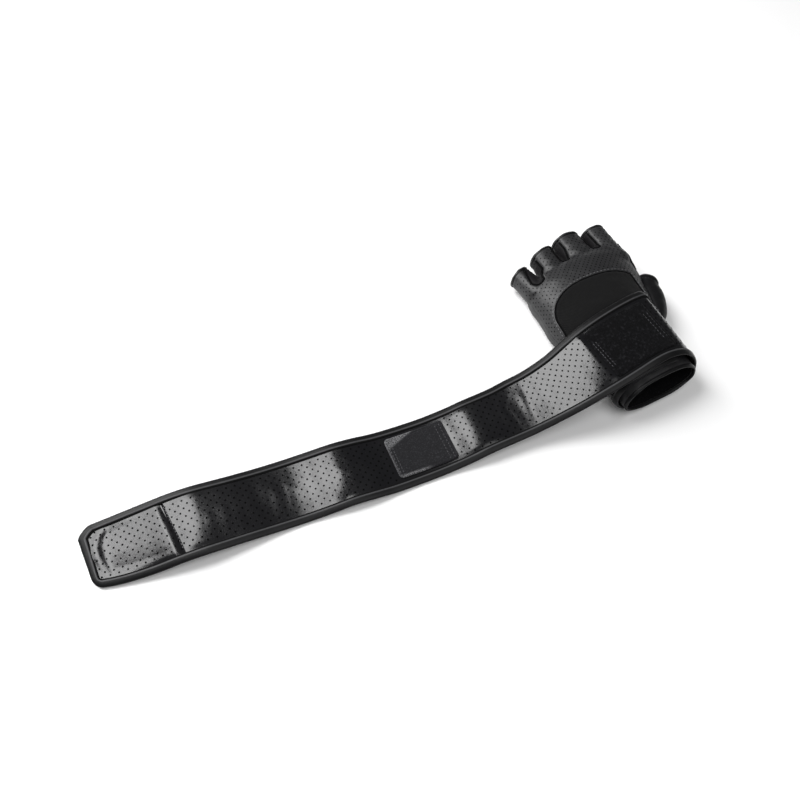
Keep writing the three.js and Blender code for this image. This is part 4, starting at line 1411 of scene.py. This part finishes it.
for name, web in WEBS.items():
    rail = drop(resampled(web_line(name, 0.15, tips=web["shoulder"] + 12), 0.7), 0.1)[0]
    keep = behind_openings(rail[rail[:, 2] > side_seam_height(rail[:, 0]) + 1])
    mesh_object(f"welt_{name}", *swept(keep, 1.0, 8, 0.8), (CORD,))
edge = []
for y in np.linspace(27, 60, 34):
    hit, normal, _, _ = surface.ray_cast(Vector((THUMB_SIDE_X, y, 24.5)), Vector((-1, 0, 0)))
    edge.append(np.array(hit) - 0.2 * np.array(normal))
edge = np.stack([np.convolve(np.pad(c, 4, "edge"), np.ones(9) / 9, "valid") for c in np.array(edge).T], 1)
edge = behind_openings(edge)
mesh_object("welt_forefinger_side", *swept(edge, 1.3, 8, 0.9), (CORD,))
panel_edge, _ = drop(between(resampled(panel_line(0.15), 0.8), lambda p: p[1] > -28.5), -0.1)
mesh_object("welt_panel", *swept(panel_edge, 0.75, 8, 0.8), (CORD,))

# %% [markdown]
# ## Punched holes
# The strap is punched in a diamond pattern, a square of 6.4 mm with one more hole in its middle, and
# the glove's back in a finer one. The strap shows its holes on both faces, but none under its pads.

# %% Fields of holes
STRAP_HOLE_PITCH = 6.4
GLOVE_HOLE_PITCH = 4.6
STEEP = 0.66
TAPE_MARGIN = 1.2
PAD_MARGIN = 1


def diamond(low, high, pitch):
    """Points of a square grid, with one more point in the middle of each square."""
    grid = np.meshgrid(*(np.arange(a, b, pitch) for a, b in zip(low, high)), indexing="ij")
    a = np.stack(grid, -1).reshape(-1, 2)
    both = np.concatenate([a, a + pitch / 2])
    return both[(both[:, 0] <= high[0]) & (both[:, 1] <= high[1])]


def strap_holes(side):
    """Places and directions of the holes on the strap's top (1) or its underside (-1)."""
    length, aside = diamond((8, -21), (STRAP_LENGTH - 6, 21), STRAP_HOLE_PITCH).T
    half = np.where(aside < 0, strap_half(length, -1), strap_half(length, 1))
    keep = np.abs(aside) - half + TAPE_WIDTH + TAPE_MARGIN < 0
    if side > 0:
        for pad in PADS.values():
            on_pad = (length > pad["start"] - PAD_MARGIN) & (length < pad["end"] + PAD_MARGIN)
            keep &= ~(on_pad & (aside > pad["left"] - PAD_MARGIN) & (aside < pad["right"] + PAD_MARGIN))
    length, aside = length[keep], aside[keep]
    height = leather_height(length, aside) if side > 0 else underside_height(length, aside)
    return strap_place(length, aside, height), side * read(out, length)


tops, top_ups = strap_holes(1)
unders, under_ups = strap_holes(-1)
strap_punch = grown("strap_holes", np.concatenate([tops, unders]), [], TREES["hole"], HOLE,
                    np.concatenate([top_ups, under_ups]), Size=0.72, Unevenness=0.04, Seed=5.0)


def flank_holes():
    """Places on the little finger's side, too steep to be met from above."""
    places, ups = [], []
    for y, z in diamond((-46, 15), (62, 40), GLOVE_HOLE_PITCH):
        hit, normal, _, _ = surface.ray_cast(Vector((-90, y, z)), Vector((1, 0, 0)))
        if hit is not None and abs(normal.z) < STEEP:
            places.append(np.array(hit))
            ups.append(np.array(normal) * (1 if normal.x < 0 else -1))
    return np.array(places), np.array(ups)


def back_holes():
    places, ups = drop(diamond((-52, -46), (54, 84), GLOVE_HOLE_PITCH))
    met = (ups[:, 2] >= STEEP) | (places[:, 0] >= -20)
    side_places, side_ups = flank_holes()
    places, ups = np.concatenate([places[met], side_places]), np.concatenate([ups[met], side_ups])
    keep = (seam_distance(places, ups) > 1.5) & (ups[:, 2] > 0.05)
    keep &= places[:, 2] > side_seam_height(places[:, 0]) + 2
    for line in (panel_line(2.6), *(web_line(name, 1.6) for name in WEBS), thumb_line(2.0)):
        keep &= ~within(places[:, :2], line)
    for finger in STALLS:
        ring, ahead = OPENINGS[finger]
        reach = places - ring(0).mean(0)
        keep &= ~((reach @ ahead > -3.6) & (sizes(reach[:, :2]) < 16))
    return places[keep], ups[keep]


def within(points, line):
    """Whether points in plan are inside a closed outline."""
    x, y = points.T
    inside = np.zeros(len(points), bool)
    for (ax, ay), (bx, by) in zip(line, np.roll(line, -1, axis=0)):
        crosses = ((ay > y) != (by > y)) & (x < (bx - ax) * (y - ay) / ((by - ay) or 1e-9) + ax)
        inside ^= crosses
    return inside


places, ups = back_holes()
grown("glove_holes", places, [], TREES["hole"], HOLE, ups, Size=0.55, Unevenness=0.05, Seed=9.0)
print("holes in the strap:", len(tops) + len(unders), "in the back:", len(places))

# %% [markdown]
# ## Pile of the velvet pads
# Each loop of the pile is a tiny ring stood on edge. They are scattered from a fixed seed.

# %% Loops on the velvet
def pile(pad, seed, pitch=1.15 * 1.4, border=1.2):
    chance = np.random.default_rng(seed)
    low, high = np.array([pad["start"], pad["left"]]), np.array([pad["end"], pad["right"]])
    flat = diamond(low + border, high - border, pitch)
    flat += chance.uniform(-0.35, 0.35, flat.shape)
    rise = cushion(pad, np.minimum(flat - low, high - flat).min(1))
    ups = read(out, flat[:, 0]) + chance.normal(0, 0.35, (len(flat), 3))
    return strap_place(flat[:, 0], flat[:, 1], PAD_FLOOR + rise), ups


for seed, (name, pad) in enumerate(PADS.items()):
    places, ups = pile(pad, 20 + seed)
    grown(f"velvet_pile_{name}", places, [], TREES["loop"], PILE[name], ups,
                       Size=0.42, Unevenness=0.12, Seed=3.0)
for stamp in stamps.values():
    bpy.data.objects.remove(stamp)


# %% [markdown]
# The pads are held by two short rows at each end, the end piece by one row past its seam, and the tape
# by a long row in its groove on both faces. They are laid by the same tree as the glove's stitches.

# %% Stitches on the strap
def pad_rows(pad):
    height = PAD_FLOOR + pad["thick"] * 0.95
    left, right = pad["left"] + pad["short"], pad["right"] - pad["short"] + 2
    rows = []
    for inset in (1.9, 4.1):
        for length in (pad["start"] + inset, pad["end"] - 1.6 * inset):
            flat = resampled([(length, left), (length, right)], 0.8)
            rows.append(strap_place(flat[:, 0], flat[:, 1], height))
    return rows


def tape_row(height, inward=4.55):
    return np.array([strap_place(s + i * inward, a + j * inward, height) for s, a, i, j in tape_route()])


rows = [row for pad in PADS.values() for row in pad_rows(pad)]
pad_thread = sewn("pad_stitches", rows, pitch=2.7, stitch=2.0, thread=0.42)
aside = np.arange(-17.5, 17.6, 0.8)
length = on_line(END_SEAM, aside) + 1.1
end_row = strap_place(length, aside, leather_height(length + 0.7, aside) + 0.05)
# The end seam's thread has the same painted glint as the panel's.
end_thread = sewn("end_seam_stitches", [end_row], pitch=2.6, stitch=1.7, thread=0.45, finish=GLINT_PAINTED_THREAD)
rows = [tape_row(1.27), tape_row(-1.27)]
tape_thread = sewn("tape_stitches", rows, pitch=3.0, stitch=2.3, thread=0.4, finish=TAPE)
set_map(tape_thread, "tape", np.full((len(tape_thread.data.vertices), 2), PAST_GROOVE))
print("strap stitch faces:", len(pad_thread.data.polygons), len(tape_thread.data.polygons))

# %% [markdown]
# ## Into the shared frame
# So far each piece has its points in millimetres in the hand's frame. Now they become metres in the
# model's frame, smooth where the surface bends gently and sharp at folded or cut edges.

# %% Place, smooth and attach
SHARP_DEGREES = 48
REPLACED = {
    "glove_back": "back_leather", "glove_palm": "palm_leather", "elastic_panel": "back_panel",
    "thumb_sleeve": "thumb_stall", "side_strip_little_ring": "gusset_pinky_ring",
    "side_strip_ring_middle": "gusset_ring_middle", "side_strip_middle_index": "gusset_middle_index",
    "hem_of_little_opening": "hem_pinky", "hem_of_ring_opening": "hem_ring",
    "hem_of_middle_opening": "hem_middle", "hem_of_index_opening": "hem_index",
    "hem_of_thumb_opening": "hem_thumb", "cuff_edge": "cuff_binding",
    "strap_leather": "wrist_strap", "strap_tape": "strap_binding", "velvet_pad_wrist": "wrist_loop_pad",
    "velvet_pad_middle": "middle_loop_patch",
}
bpy.data.objects.remove(body)
panel.data.materials[0] = ELASTIC
thumb_piece.data.materials[0] = THUMB_LEATHER
for strip in strips.values():
    strip.data.materials[0] = SIDE_STRIP
pieces = [o for o in bpy.data.objects if o.type == "MESH" and o.name not in frame["nodes"]]
for piece in pieces:
    mesh = piece.data
    local = points_of(mesh)
    local[:, 2] = np.maximum(local[:, 2], 0.0)
    placed = (local + (HAND_X, HAND_Y, 0)) * MM
    mesh.vertices.foreach_set("co", placed.ravel())
    mesh.polygons.foreach_set("use_smooth", np.ones(len(mesh.polygons), bool))
    mesh.set_sharp_from_angle(angle=math.radians(SHARP_DEGREES))
    mesh.update()
    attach(piece, "root")
    if piece.name in REPLACED:
        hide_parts(REPLACED[piece.name])
print("pieces:", len(pieces), "faces:", sum(len(o.data.polygons) for o in pieces))

# %% [markdown]
# ## Floor and light
# The photograph was taken on white, under a large soft light above and behind the glove. Black leather
# shows its form only by what it mirrors, so the light's place decides which slopes shine.

# %% Floor
floor_mesh = bpy.data.meshes.new("floor")
floor_mesh.from_pydata([(-3, -3, 0), (3, -3, 0), (3, 3, 0), (-3, 3, 0)], [], [(0, 1, 2, 3)])
floor = new_object("floor", floor_mesh)
floor.location.z = -0.0002
floor_finish = Finish("floor", (0.95, 0.95, 0.95), 0.9, Specular_IOR_Level=0.0)
floor_mesh.materials.append(floor_finish.material)
print("floor's side in m:", floor.dimensions.x)


# %% Lights
def soft_light(name, direction, distance, size, watts, target=(0.05, 0.0, 0.0)):
    data = bpy.data.lights.new(name, "AREA")
    data.shape, data.energy = "RECTANGLE", watts
    data.size, data.size_y = size
    lamp = new_object(name, data)
    way = Vector(direction).normalized()
    lamp.location = Vector(target) + way * distance
    lamp.rotation_mode = "QUATERNION"
    lamp.rotation_quaternion = (-way).to_track_quat("-Z", "Y")


LIGHTS = (
    ("softbox_behind", (-0.335, 0.394, 0.866), 1.5, (0.68, 0.62), 15.5),
    ("fill_above", (0.15, -0.45, 1.0), 1.9, (1.5, 1.5), 18.0),
    ("window_left", (-0.55, 0.60, 0.50), 1.5, (0.85, 0.75), 17.0, (0.18, 0.0, 0.0)),
)
for light in LIGHTS:
    soft_light(*light)
world = bpy.data.worlds.new("studio")
bpy.context.scene.world = world
world.use_nodes = True
world.node_tree.nodes["Background"].inputs["Color"].default_value = (1, 1, 1, 1)
world.node_tree.nodes["Background"].inputs["Strength"].default_value = 0.09
bpy.context.scene.view_settings.view_transform = "Standard"
print("lights in W:", {light[0]: light[4] for light in LIGHTS})
